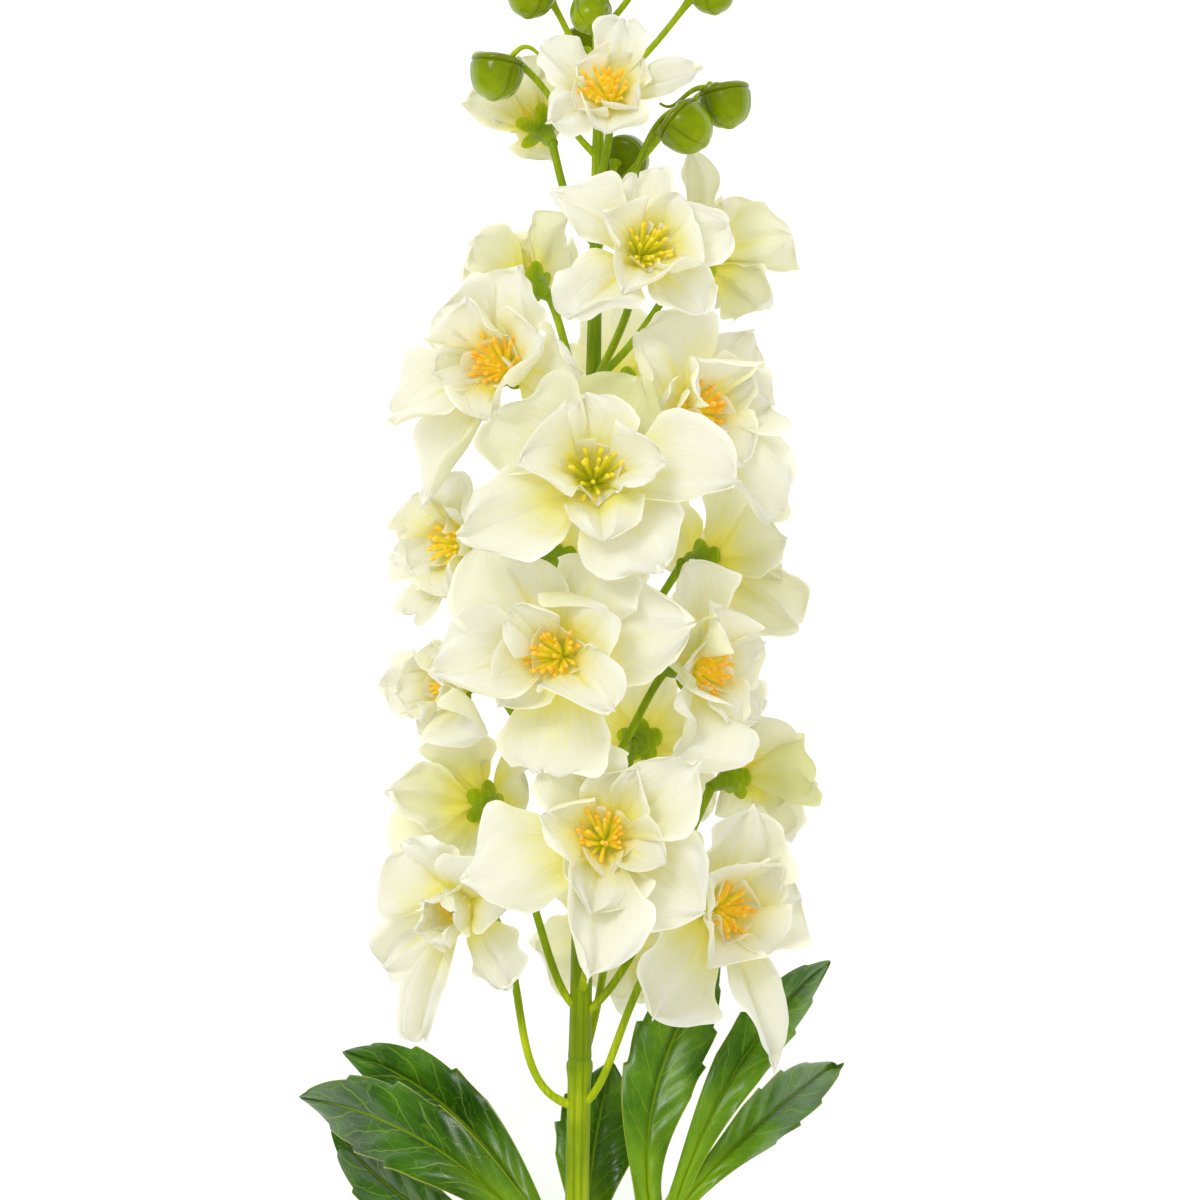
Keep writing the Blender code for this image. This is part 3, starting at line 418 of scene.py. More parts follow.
def sector(bloom, petal, petals):
    """Two walls through the bloom's axis, a bit past midway to the next petal of the layer on each side."""
    layer = [other for other in petals if other["layer"] == petal["layer"] and other is not petal]
    gaps = [(other["turn"] - petal["turn"]) % 360 for other in layer]
    walls = []
    for half_gap, sign in ((min(gaps) / 2, 1), ((360 - max(gaps)) / 2, -1)):
        angle = math.radians(petal["turn"] + sign * (half_gap + petal["overlap"] + 90))
        walls.append((bloom.throat, bloom.around(angle), 0.3, 2.0, 0.1))
    return walls


def kept_clear(points, walls, skin, v):
    """Each wall moves a point back by half of (past + sqrt(past^2 + softness^2)), four times over. A wall
    takes hold little by little from the root, where v is 0, and holds fully from its last number on. Then
    the stalk and the table push back what is left inside them."""
    points = points.copy()
    for _ in range(4):
        for wall, normal, margin, softness, held_from in walls:
            past = (points - wall) @ normal + margin
            push = 0.5 * (past + np.sqrt(past**2 + softness**2)) * np.clip(v / held_from, 0, 1)
            points -= push[:, None] * normal
    off = points - stalk_axis(points[:, 1])
    distance = np.maximum(np.hypot(off[:, 0], off[:, 2]), 0.01)
    push = np.maximum(stalk_radius(points[:, 1]) + STALK_CLEARANCE - distance, 0) / distance
    points[:, 0] += push * off[:, 0]
    points[:, 2] += push * off[:, 2]
    points[:, 2] = np.maximum(points[:, 2], skin - STALK_HEIGHT)
    return points


print("walls round the middle bloom:", len(rooms(BLOOMS[7])))

# %% [markdown]
# Now the numbers for every petal. The first draws follow the order in which the solids were made, so that
# the fine petals lie where the solid ones do. A second, separate draw gives what the solids are too coarse
# for: ruffled edges, curled tips, pointed or blunt ends. Small folded petals inside the cup make the flower
# double. Only the topmost bloom is plainer: its inner petals are shorter and it has no heart petals. A few
# petals are then changed one by one: some get a painted olive shade, some are creased along the rib, some
# are larger or smaller.


# %% The petals of each bloom
RISE_STEPS = (-7, 5, -5, 9, 0)
SOLID_DRAW, FINE_DRAW = 100, 900
PLAINEST = "top_front"
# The olive tints turn a whole petal olive: painted shade. CREASE folds a petal and makes it yellow along the
# rib.
OLIVE_SHADE, PALE_OLIVE_SHADE, CREASE = dict(tint=1.9), dict(tint=1.4), dict(tint=0.95, fold=0.50)
SPECIAL = {
    "upper_front": {0: CREASE, 7: CREASE},
    "left_high": {3: CREASE, 4: CREASE, 5: dict(tint=0.9, grow=1.2), 7: CREASE},
    "right_high": {0: dict(grow=0.95), 4: CREASE, 6: dict(tint=0.95, grow=1.2)},
    "middle_front": {
        0: dict(grow=0.95), 1: PALE_OLIVE_SHADE, 2: OLIVE_SHADE, 3: dict(grow=0.92), 6: dict(grow=1.1), 8: CREASE,
    },
    "left_middle": {0: CREASE},
    "centre_front": {
        0: dict(tint=1.2), 1: dict(tint=1.2), 3: CREASE, 5: dict(grow=1.4), 6: dict(tint=0.95),
        8: dict(tint=0.98, fold=0.8, grow=1.15),
    },
    "right_centre": {1: OLIVE_SHADE, 2: dict(tint=0.98, fold=0.8), 6: dict(grow=1.3), 7: dict(tint=0.95, fold=0.6)},
    "right_under": {2: OLIVE_SHADE},
    "low_front": {1: CREASE, 4: dict(tint=1.3), 7: dict(tint=0.95, grow=1.15)},
    "bottom_left": {1: CREASE, 5: dict(tint=0.95, fold=0.6), 7: dict(tint=0.95, fold=0.6), 8: CREASE},
    "bottom_right": {1: CREASE, 6: dict(tint=0.95, grow=1.2), 7: dict(tint=0.98, fold=0.7)},
}


def overlaps(petals):
    """Gives each petal a factor for its left and its right edge: 1.25 over a lower neighbour, 0.35 under."""
    for petal in petals:
        layer = [other for other in petals if other["layer"] == petal["layer"] and other is not petal]
        ahead = min(layer, key=lambda other: (other["turn"] - petal["turn"]) % 360)
        behind = max(layer, key=lambda other: (other["turn"] - petal["turn"]) % 360)
        petal["over"] = [1.25 if petal["rise"] > other["rise"] else 0.35 for other in (ahead, behind)]
    return petals


def bloom_petals(bloom, number):
    """A list of petals, five outer, four inner and three heart ones, each a dictionary of the numbers that
    petal_shape and sector read. tint is 0 to 1 for cream petals and up to 2 for petals with painted olive
    shade."""
    chance = random.Random(SOLID_DRAW + number)
    fine = random.Random(FINE_DRAW + number)
    plain = bloom.name == PLAINEST
    found = []
    for index, (turn, length, width) in enumerate(bloom.outer):
        found.append(
            dict(
                layer="outer", turn=turn, root=(2.4, 0.9), length=bloom.reach * length * 1.1,
                width=bloom.reach * 0.96 * width * chance.uniform(0.94, 1.06),
                rise=bloom.rise + RISE_STEPS[index] + chance.uniform(-2, 2),
                droop=bloom.droop + chance.uniform(-14, 10),
                cup=0.36 * bloom.cup * chance.uniform(0.6, 1.3), fold=fine.choice((-0.18, 0.05, 0.20, 0.45)),
                wave=chance.uniform(0.10, 0.22) * 1.8, phase=chance.uniform(0, 6.28),
                twist=chance.uniform(-0.30, 0.30) * 1.5, overlap=22.0,
                curl=fine.uniform(-45, 70), ruffle=fine.uniform(0.16, 0.34),
                bluntness=fine.uniform(0.40, 0.72), point=fine.uniform(0.00, 0.09),
                lopsided=fine.uniform(-0.30, 0.30), pleat=fine.uniform(0.7, 2.0),
                hem=fine.uniform(-0.25, 0.25), tint=fine.random(), scallop=fine.uniform(0.01, 0.055),
            )
        )
    closed = bloom.closed
    for index in range(4):
        found.append(
            dict(
                layer="inner", turn=bloom.inner_turn + 90 * index + chance.uniform(-10, 10), root=(2.2, 1.7),
                length=bloom.reach * 0.70 * chance.uniform(0.88, 1.12) * (0.78 if plain else 1.0),
                width=bloom.reach * 0.76 * chance.uniform(0.85, 1.1),
                rise=52 + 16 * closed + 9 * (index % 2) + chance.uniform(-3, 3),
                droop=14 + 90 * closed + chance.uniform(-10, 10), cup=0.62 + 0.3 * closed,
                fold=fine.choice((0.05, 0.12, 0.35)),
                wave=chance.uniform(0.05, 0.15) * 2.2, phase=chance.uniform(0, 6.28),
                twist=chance.uniform(-0.2, 0.2) * 1.6, overlap=24.0,
                curl=fine.uniform(-30, 45), ruffle=fine.uniform(0.14, 0.32),
                bluntness=fine.uniform(0.45, 0.90), point=fine.uniform(0.00, 0.08),
                lopsided=fine.uniform(-0.30, 0.30), pleat=fine.uniform(0.5, 1.5),
                hem=fine.uniform(-0.05, 0.40), tint=fine.random(), scallop=fine.uniform(0.01, 0.05),
            )
        )
    for index in range(0 if plain else 3):
        found.append(
            dict(
                layer="heart", root=(2.0, 1.9),
                turn=bloom.inner_turn + 200 + 105 * index + fine.uniform(-20, 20),
                length=bloom.reach * fine.uniform(0.32, 0.42), width=bloom.reach * fine.uniform(0.30, 0.44),
                rise=66 + fine.uniform(-5, 5), droop=30 + 80 * closed + fine.uniform(-20, 10), cup=0.55,
                fold=fine.uniform(0.1, 0.4), wave=0.16, phase=fine.uniform(0, 6.28),
                twist=fine.uniform(-0.4, 0.4), overlap=30.0,
                curl=fine.uniform(-10, 40), ruffle=0.16, bluntness=fine.uniform(0.65, 1.0),
                point=fine.uniform(0.0, 0.06), lopsided=0.0, pleat=0.4, hem=0.3, tint=fine.random(),
                scallop=0.04,
            )
        )
    for index, changes in SPECIAL.get(bloom.name, {}).items():
        found[index].update(changes)
        for measure in ("length", "width"):
            found[index][measure] *= changes.get("grow", 1.0)
    return overlaps(found)


PETALS = {bloom.name: bloom_petals(bloom, number) for number, bloom in enumerate(BLOOMS)}
print("petals in all:", sum(len(petals) for petals in PETALS.values()))

# %% [markdown]
# Shader nodes are easier to read as sums than as boxes and wires. The class below wraps one output socket,
# and each operator on it adds the Math node for that step. Any other node comes from its node method.


# %% Shader arithmetic
class Wire:
    """One output socket of a material's node tree, with Python's operators."""

    def __init__(self, tree, socket=None):
        self.tree = tree
        self.socket = socket

    def node(self, kind, settings=None, ports=None, out=0):
        """Adds a node: its settings first, a ramp's stops among them, then its input values and links."""
        made = self.tree.nodes.new("ShaderNode" + kind)
        for name, value in (settings or {}).items():
            if name == "stops":
                ramp = made.color_ramp
                while len(ramp.elements) < len(value):
                    ramp.elements.new(0.5)
                for element, (place, colour) in zip(ramp.elements, value):
                    element.position = place
                    element.color = (*colour, 1.0)
            else:
                setattr(made, name, value)
        for port, value in (ports or {}).items():
            if isinstance(value, Wire):
                self.tree.links.new(value.socket, made.inputs[port])
            else:
                made.inputs[port].default_value = value
        return Wire(self.tree, made.outputs[out])

    def attribute(self, name):
        """The number of that name that the piece holds at each point."""
        return self.node("Attribute", {"attribute_name": name}, out=2)

    def noise(self, place, scale, detail, **ports):
        """Random clouds round 0.5, scale of them to each unit of place, with detail layers of finer ones."""
        return self.node("TexNoise", None, {"Vector": place, "Scale": scale, "Detail": detail, **ports})

    def math(self, operation, *values):
        """Adds a Math node, whose values may be numbers or wires."""
        return self.node("Math", {"operation": operation}, dict(enumerate(values)))

    def __add__(self, other):
        return self.math("ADD", self, other)

    def __sub__(self, other):
        return self.math("SUBTRACT", self, other)

    def __rsub__(self, other):
        return self.math("SUBTRACT", other, self)

    def __mul__(self, other):
        return self.math("MULTIPLY", self, other)

    def __truediv__(self, other):
        return self.math("DIVIDE", self, other)

    def __pow__(self, other):
        return self.math("POWER", self, other)

    def __abs__(self):
        return self.math("ABSOLUTE", self)

    def between(self, low, high):
        """0 below low, 1 above high, and a smooth step from one to the other."""
        settings = {"interpolation_type": "SMOOTHSTEP"}
        return self.node("MapRange", settings, {"Value": self, "From Min": low, "From Max": high})

    __radd__ = __add__
    __rmul__ = __mul__


def blend_colour(share, first, second):
    """The colour that goes from first at share 0 to second at share 1. Either may be three numbers."""
    ports = {0: share, 6: first, 7: second}
    ports = {port: (*value, 1.0) if isinstance(value, tuple) else value for port, value in ports.items()}
    return share.node("Mix", {"data_type": "RGBA"}, ports, out=2)


def new_finish(name, **constants):
    """A new material whose Principled shader has its constants set. Returns it, the shader and a Wire."""
    made = bpy.data.materials.new(name)
    made.use_nodes = True
    shader = made.node_tree.nodes["Principled BSDF"]
    for socket, value in constants.items():
        shader.inputs[socket.replace("_", " ")].default_value = value
    return made, shader, Wire(made.node_tree)


def feed(shader, socket, wire):
    """Links a wire to the named socket of a shader."""
    wire.tree.links.new(wire.socket, shader.inputs[socket])


print("shader arithmetic ready")

# %% [markdown]
# Petal colour runs along the petal: green-yellow at the claw, a clear yellow just above it, then cream,
# with edges close to white where the cloth is thinnest. Creased petals are yellow along the rib and the
# hearts of warm blooms blush. The back is painted duller and more olive, petals deeper in the cup are painted
# yellower, and a few single petals are painted olive: all of that is painted shade. Part of the light goes
# right through a petal this thin, so a translucent share is mixed in, and a weak painted glow stands for the
# light that wanders inside the cloth, warm deep in the cup and near white at the rim: petals in shade look
# yellow, not grey.

# %% Petal finish
THROUGH_SHARE = 0.43
petal_finish, petal_shader, wire = new_finish("petal_cream", Specular_IOR_Level=0.25, Emission_Strength=0.25)
along = wire.attribute("along")
across = wire.attribute("across")
tint = wire.attribute("tint")
deep = wire.attribute("deep")
glow = wire.attribute("glow")
side = wire.attribute("side")
place = wire.node("TexCoord", out=3)
drift = wire.noise(place, 90.0, 3.0)
streak_at = wire.node("CombineXYZ", None, {0: across * 11.0, 1: along * 1.6, 2: tint * 37.0})
streaks = wire.noise(streak_at, 1.6, 4.0)
reach_up = along * 1.05 + 0.05 + (streaks - 0.5) * 0.44 + (drift - 0.5) * 0.34
# deep moves inner and heart petals towards the claw's yellow: painted warm shade deep in the cup.
reach_up = reach_up + (tint - 0.5) * 0.22 - deep * 0.32
stops = [
    (0.00, (0.66, 0.64, 0.02)),
    (0.12, (0.90, 0.82, 0.05)),
    (0.26, (0.91, 0.865, 0.22)),
    (0.42, (0.905, 0.888, 0.60)),
    (0.64, (0.915, 0.912, 0.85)),
    (0.85, (0.93, 0.932, 0.925)),
    (1.00, (0.94, 0.944, 0.94)),
]
body = wire.node("ValToRGB", {"stops": stops}, {"Fac": reach_up})
rimward = (abs(across) ** 3.0 * 0.75 + along.between(0.8, 1.0) * 0.4) * along.between(0.15, 0.6)
body = blend_colour(rimward, body, (0.95, 0.950, 0.94))
crease = (1 - abs(across).between(0.0, 0.13)) * (1 - along.between(0.25, 0.80)) * tint.between(0.1, 0.6)
body = blend_colour(crease * 0.88, body, (0.92, 0.83, 0.07))
blush = deep * glow.between(0.5, 1.0) * along.between(0.05, 0.2) * (1 - along.between(0.25, 0.7))
body = blend_colour(blush * 0.45, body, (0.96, 0.76, 0.36))
# Petals whose tint is above 1 are painted olive: painted shade.
body = blend_colour(tint.between(1.0, 2.0) * 0.75, body, (0.72, 0.74, 0.30))
# The back of a petal is painted duller and more olive towards the claw: painted shade.
behind = (side * -0.5 + 0.5) * (1 - along * 0.70) * 0.65
body = blend_colour(behind, body, (0.80, 0.79, 0.18))
feed(petal_shader, "Base Color", body)
# The emission colour is a painted glow: warm yellow at the claw, warmer deeper in the cup, paler towards the
# tip.
scattered = blend_colour(along.between(0.05, 0.55), (0.58, 0.50, 0.03), (0.17, 0.165, 0.09))
scattered = blend_colour(deep * 0.5, scattered, (0.52, 0.48, 0.16))
# The mask thin marks rims and tips, where the painted glow turns near white: painted light on the edges.
thin = wire.math("MAXIMUM", abs(across).between(0.86, 1.0), along.between(0.94, 1.0))
thin = thin * along.between(0.1, 0.5)
feed(petal_shader, "Emission Color", blend_colour(thin, scattered, (0.55, 0.55, 0.52)))
weave = wire.noise(place, 1500.0, 2.0)
crumple = wire.noise(place, 190.0, 2.0, Distortion=1.4)
height = streaks * 0.8 + weave * 0.10 + crumple * 0.65
bump = wire.node("Bump", None, {"Strength": 0.6, "Distance": 0.0010, "Height": height})
feed(petal_shader, "Normal", bump)
feed(petal_shader, "Roughness", 0.55 + streaks * 0.15)
through = wire.node("BsdfTranslucent", None, {"Color": (0.955, 0.943, 0.80, 1.0)})
solid = Wire(petal_finish.node_tree, petal_shader.outputs[0])
both = wire.node("MixShader", None, {0: THROUGH_SHARE, 1: solid, 2: through})
feed(petal_finish.node_tree.nodes["Material Output"], "Surface", both)
print("petal finish:", len(petal_finish.node_tree.nodes), "nodes")

# %% [markdown]
# Every petal is sampled finely near its edges and its tip, where the shape turns fastest. The points go
# through the bloom's walls, then a thin closed blade is laid on them, thickest at the middle and fine at
# the rim.

# %% Grow the petals
PETAL_GRIDS = {"outer": (29, 27), "inner": (19, 15), "heart": (19, 15)}
# How deep each layer lies in the cup. The finish paints deeper petals yellower and warms their glow, as
# painted shade.
DEEP_IN = {"outer": 0.0, "inner": 0.6, "heart": 1.0}
PETAL_SKIN = 0.20


def blade_normals(points, rows, columns):
    """Unit normals of a grid of points: the cross product of its two directions."""
    grid = points.reshape(rows, columns, 3)
    normal = np.cross(np.gradient(grid, axis=1), np.gradient(grid, axis=0))
    return -unit(normal + 1e-12).reshape(-1, 3)


def grow_petal(shape, bloom, petal, petals, walls):
    """Adds one petal to the shape: a grid with u = sin of an even spread and v = 1 - (1 - s) ** 1.5."""
    rows, columns = PETAL_GRIDS[petal["layer"]]
    u = np.sin(np.pi / 2 * np.linspace(-1, 1, columns))
    v = 1 - (1 - np.linspace(0, 1, rows)) ** 1.5
    v, u = (grid.ravel() for grid in np.meshgrid(v, u, indexing="ij"))
    out, across, up = petal_shape(u, v, petal)
    turn = math.radians(petal["turn"])
    outward = bloom.around(turn)
    sideways = bloom.around(turn + math.pi / 2)
    points = bloom.throat + out[:, None] * outward + across[:, None] * sideways + up[:, None] * bloom.facing
    skin = PETAL_SKIN * np.sqrt(np.clip(1 - u**6, 0, 1) * np.clip(1 - v**8, 0, 1))
    points = kept_clear(points, walls + sector(bloom, petal, petals), skin, v)
    normal = blade_normals(points, rows, columns) * skin[:, None]
    shape.add_blade(
        points + normal, points - normal, rows, columns, along=v, across=u, tint=petal["tint"],
        deep=DEEP_IN[petal["layer"]], glow=bloom.glow,
    )


def add_receptacle(shape, bloom):
    """The low dome where the petals meet: radius 3.9 falling to 0 as a quarter of an ellipse 2.6 high."""
    angles = np.linspace(0, 2 * np.pi, 16, endpoint=False)
    levels = np.linspace(0, 1, 6)
    radius, height = 3.9 * np.cos(levels * np.pi / 2 * 0.98), 2.6 * np.sin(levels * np.pi / 2)
    round_ = np.cos(angles)[:, None] * bloom.right + np.sin(angles)[:, None] * bloom.up
    rings = bloom.throat + radius[:, None, None] * round_ + height[:, None, None] * bloom.facing
    ends = [bloom.throat, bloom.throat + 2.6 * bloom.facing]
    shape.add_rings(rings, ends, along=0.05, across=0.0, tint=0.5, deep=1.0, glow=0.5, side=1.0)


grown = 0
for bloom in BLOOMS:
    shape = Shape()
    walls = rooms(bloom)
    for petal in PETALS[bloom.name]:
        grow_petal(shape, bloom, petal, PETALS[bloom.name], walls)
    add_receptacle(shape, bloom)
    shape.make("petals_" + bloom.name, [f"bloom_{bloom.name}_petals"], petal_finish, "petal")
    grown += len(shape.faces)
print("petal faces:", grown)

# %% [markdown]
# The stamens are a tuft of fine threads that lean outwards and carry small anthers. Their colour runs from
# green at the foot through yellow to orange at the tip, more orange in some blooms than in others. A colour
# ramp along each thread does that, and a weak glow of the same colour keeps the threads clear in the cup's
# shade.

# %% Stamen finish
stamen_finish, stamen_shader, wire = new_finish("stamen_yellow", Roughness=0.5, Emission_Strength=0.15)
along = wire.attribute("along")
glow = wire.attribute("glow")
tint = wire.attribute("tint")
stops = [
    (0.0, (0.46, 0.47, 0.01)),
    (0.3, (0.66, 0.64, 0.02)),
    (0.6, (0.92, 0.74, 0.05)),
    (1.0, (0.90, 0.52, 0.03)),
]
shift = along * (0.40 + glow * 0.35) + glow * 0.30 + (tint - 0.5) * 0.30
warm = wire.node("ValToRGB", {"stops": stops}, {"Fac": shift})
stamen_colour = blend_colour(along.between(0.86, 0.97) * (0.10 + glow * 0.50), warm, (0.90, 0.50, 0.05))
feed(stamen_shader, "Base Color", stamen_colour)
feed(stamen_shader, "Emission Color", stamen_colour)
print("stamen finish:", len(stamen_finish.node_tree.nodes), "nodes")

# %% [markdown]
# A thread is a tube of five sides along a path that bows a little, and its anther is a short tube whose
# radius swells and closes like an ellipse. Successive threads turn by the golden angle, which spreads them
# evenly over the cushion that they stand on. All threads of a bloom are one mesh, because they are one
# tuft.

# %% Grow the stamens
STAMEN_DRAW = 300
THREADS = 26
GOLDEN_TURN = 2.39996
LOWEST_THREAD = 1.0 - STALK_HEIGHT


def sweep(path, radii, sides, side_hint):
    """Points round a path: a ring of sides at each point, square to the path, of that point's radius."""
    heading = unit(np.gradient(path, axis=0))
    first = unit(np.cross(heading, np.broadcast_to(side_hint, heading.shape)))
    second = np.cross(heading, first)
    angles = np.linspace(0, 2 * np.pi, sides, endpoint=False)
    around = np.cos(angles)[None, :, None] * first[:, None] + np.sin(angles)[None, :, None] * second[:, None]
    return path[:, None] + around * np.asarray(radii)[:, None, None]


def add_tube(shape, path, radii, sides, side_hint, **values):
    """Adds a tube closed by a point at each end. A value is one number or one for each point of the path."""
    rings = sweep(path, radii, sides, side_hint)
    for name, value in values.items():
        value = np.broadcast_to(value, len(path))
        values[name] = np.concatenate([np.repeat(value, sides), value[[0, -1]]])
    shape.add_rings(rings, path[[0, -1]], **values)


def grow_stamens(bloom, number):
    """Threads: each leans out by its own angle, bows a little, and ends in an oval anther. Those of the
    plainest bloom are longer for its size, and a bloom that is partly closed has short ones."""
    chance = random.Random(STAMEN_DRAW + number)
    shape = Shape()
    foot = bloom.throat + bloom.facing * 2.9
    scale = bloom.reach / 32 * (1.35 if bloom.name == PLAINEST else 1.0)
    sway = bloom.around(chance.uniform(0, 6.28)) * 0.16
    for index in range(THREADS):
        turn = index * GOLDEN_TURN + chance.uniform(-0.3, 0.3)
        share = math.sqrt((index + 0.5) / THREADS)
        lean = math.radians((36 - 16 * bloom.closed) * share + chance.uniform(-6, 6))
        outward = bloom.around(turn)
        length = scale * (14.0 - 4.0 * share - 9.0 * bloom.closed) * chance.uniform(0.75, 1.10)
        t = np.linspace(0, 1, 6)[:, None]
        start = foot + outward * 2.3 * share
        way = bloom.facing * math.cos(lean) + outward * math.sin(lean) + sway
        path = start + way * length * t + outward * chance.uniform(-1.0, 1.6) * t**2
        path[:, 2] = np.maximum(path[:, 2], LOWEST_THREAD)
        radii = np.linspace(0.76, 0.54, 6)
        tint = chance.random()
        hint = bloom.right + 0.3 * bloom.up
        add_tube(shape, path, radii, 5, hint, along=0.85 * t[:, 0], glow=bloom.glow, tint=tint)
        heading = unit(path[-1] - path[-2] + bloom.around(turn + chance.uniform(-2, 2)) * 0.25)
        size = chance.uniform(0.85, 1.15) * scale
        s = np.linspace(-1, 1, 6)[:, None]
        anther = path[-1] + heading * s * 1.5 * size
        anther[:, 2] = np.maximum(anther[:, 2], LOWEST_THREAD)
        radii = 0.76 * size * np.sqrt(np.clip(1 - (0.94 * s[:, 0]) ** 2, 0, 1))
        add_tube(shape, anther, radii, 6, bloom.up + 0.2 * bloom.right, along=1.0, glow=bloom.glow, tint=tint)
    cushion = foot + bloom.facing * np.linspace(-0.2, 0.7, 4)[:, None]
    radii = np.array([2.3, 2.6, 2.0, 0.8])
    add_tube(shape, cushion, radii, 12, bloom.right, along=0.1, glow=bloom.glow, tint=0.5)
    return shape


for number, bloom in enumerate(BLOOMS):
    shape = grow_stamens(bloom, number)
    shape.make("stamens_" + bloom.name, [f"bloom_{bloom.name}_stamens"], stamen_finish, "stamen")
print("stamens:", THREADS * len(BLOOMS))

# %% [markdown]
# The green growth has a dull skin full of fine fibres, and its colour wanders from olive to a yellow green.
# Noise that is stretched along the stalk gives the fibres, and a value that each point holds, its shade,
# says how ripe the piece is there. The ribs' grooves and the dent by the knuckle are painted darker: painted
# shade. Stalk, calyces and side stalks share the finish, because together they stand for the one solid stem.

# %% Stem finish
stem_finish, stem_shader, wire = new_finish("stem_green", Specular_IOR_Level=0.15)
place = wire.node("TexCoord", out=3)
shade = wire.attribute("shade")
groove = wire.attribute("groove")
stretched = wire.node("Mapping", None, {"Vector": place, "Scale": (1.0, 0.06, 1.0)})
fibre = wire.noise(stretched, 900.0, 3.0)
blotch = wire.noise(place, 60.0, 2.0)
ripe = shade + (fibre - 0.5) * 0.55 + (blotch - 0.5) * 0.75
stops = [
    (0.0, (0.07, 0.12, 0.0)),
    (0.35, (0.14, 0.22, 0.0)),
    (0.7, (0.25, 0.36, 0.001)),
    (1.0, (0.47, 0.57, 0.004)),
]
green = wire.node("ValToRGB", {"stops": stops}, {"Fac": ripe})
# The grooves between the ribs and the knuckle's dent are darkened here: painted shade.
green = blend_colour(groove * 0.5, green, (0.10, 0.17, 0.004))
feed(stem_shader, "Base Color", green)
feed(stem_shader, "Roughness", 0.36 + fibre * 0.2)
bump = wire.node("Bump", None, {"Strength": 0.3, "Distance": 0.0003, "Height": fibre})
feed(stem_shader, "Normal", bump)
print("stem finish:", len(stem_finish.node_tree.nodes), "nodes")

# %% [markdown]
# The stalk is a tube with eight shallow ribs that run its whole length and a knuckle low down. It could be
# a curve with a bevel, but then the ribs would need sculpting, so its radius is a formula of height and
# angle.


# %% Grow the stalk
STALK_SIDES = 60


def grow_stalk():
    """Radius times 1 - 0.07 (1 - |cos 4a|)^2 and a slow small wave, with a dent beside the knuckle. The cut
    end is flat with a pale pith."""
    y = np.concatenate([np.linspace(STALK_CUT, STALK_TIP, 150), KNUCKLE_AT + np.linspace(-6, 6, 13)])
    y = np.sort(y)
    a = np.linspace(0, 2 * np.pi, STALK_SIDES, endpoint=False)
    grid_y, grid_a = np.meshgrid(y, a, indexing="ij")
    ribs = np.abs(np.cos(4 * grid_a + 0.5 * np.sin(grid_y / 55.0)))
    radius = stalk_radius(grid_y) * (1.0 - 0.07 * (1 - ribs) ** 2 + 0.012 * np.sin(grid_y / 9.0 + 2 * grid_a))
    dent = np.exp(-(((grid_y - KNUCKLE_AT - 2.2) / 0.7) ** 2))
    radius *= 1 - 0.10 * dent
    around = np.stack([radius * np.cos(grid_a), np.zeros_like(radius), radius * np.sin(grid_a)], axis=-1)
    shade = np.interp(
        grid_y, [STALK_CUT, -170, -140, 0, 95, 135, STALK_TIP], [0.76, 0.70, 0.60, 0.44, 0.40, 0.76, 0.74]
    )
    # groove marks where painted shade darkens the stalk: between the ribs and in the knuckle's dent.
    groove = np.clip((1 - ribs) ** 2 * 1.1 + dent, 0, 1)
    shape = Shape()
    shape.add_rings(
        stalk_axis(grid_y) + around, stalk_axis(np.array([STALK_CUT, STALK_TIP + 0.6])), outwards=False,
        shade=np.append(shade.ravel(), [1.0, 0.6]), groove=np.append(groove.ravel(), [0.0, 0.0]),
    )
    return shape


stalk = grow_stalk().make("stalk", ["stem"], stem_finish, "stem")
print("stalk faces:", len(stalk.data.polygons))

# %% [markdown]
# The flower stalks leave the stalk outwards and climb to their bloom. A side stalk is a tube along a curve
# from its foot to its bloom, because a curve needs only four points to be set. Four low ones, which nothing
# hides, are given their own bow.


# %% Grow the flower stalks
def bezier(a, b, c, d, t):
    """The cubic curve from a to d that sets out towards b and arrives from c, at each t."""
    t = t[:, None]
    return a * (1 - t) ** 3 + b * 3 * t * (1 - t) ** 2 + c * 3 * t**2 * (1 - t) + d * t**3


CALYX_FOOT = 11.3
BOWED = {
    "bottom_left": (-162, (-33, -158, 6), (-19, -116, -5)),
    "bottom_right": (-162, (6, -156, 8), (6, -118, 6)),
    "left_under": (-131, (-15, -127, 4), (-17, -108, 0)),
    "right_under": (-133, (4, -127, 4), (14, -110, -2)),
}


def side_stalk(foot_y, end, arrival, count, way=()):
    """Points of a side stalk: it leaves the stalk outwards and up, and ends towards arrival. way holds the
    two middle points of its curve where it bows in a way of its own."""
    foot = stalk_axis(foot_y)
    away = end - foot
    flat = unit(np.array([away[0], 0, away[2]]))
    reach = np.linalg.norm(away)
    leave = foot + (flat * 0.80 + np.array([0, 0.60, 0])) * reach * 0.36
    arrive = end - unit(arrival * 0.75 + np.array([0, 0.65, 0])) * reach * 0.34
    if way:
        leave, arrive = np.array(way, float)
    return bezier(foot, leave, arrive, end, np.linspace(0, 1, count))


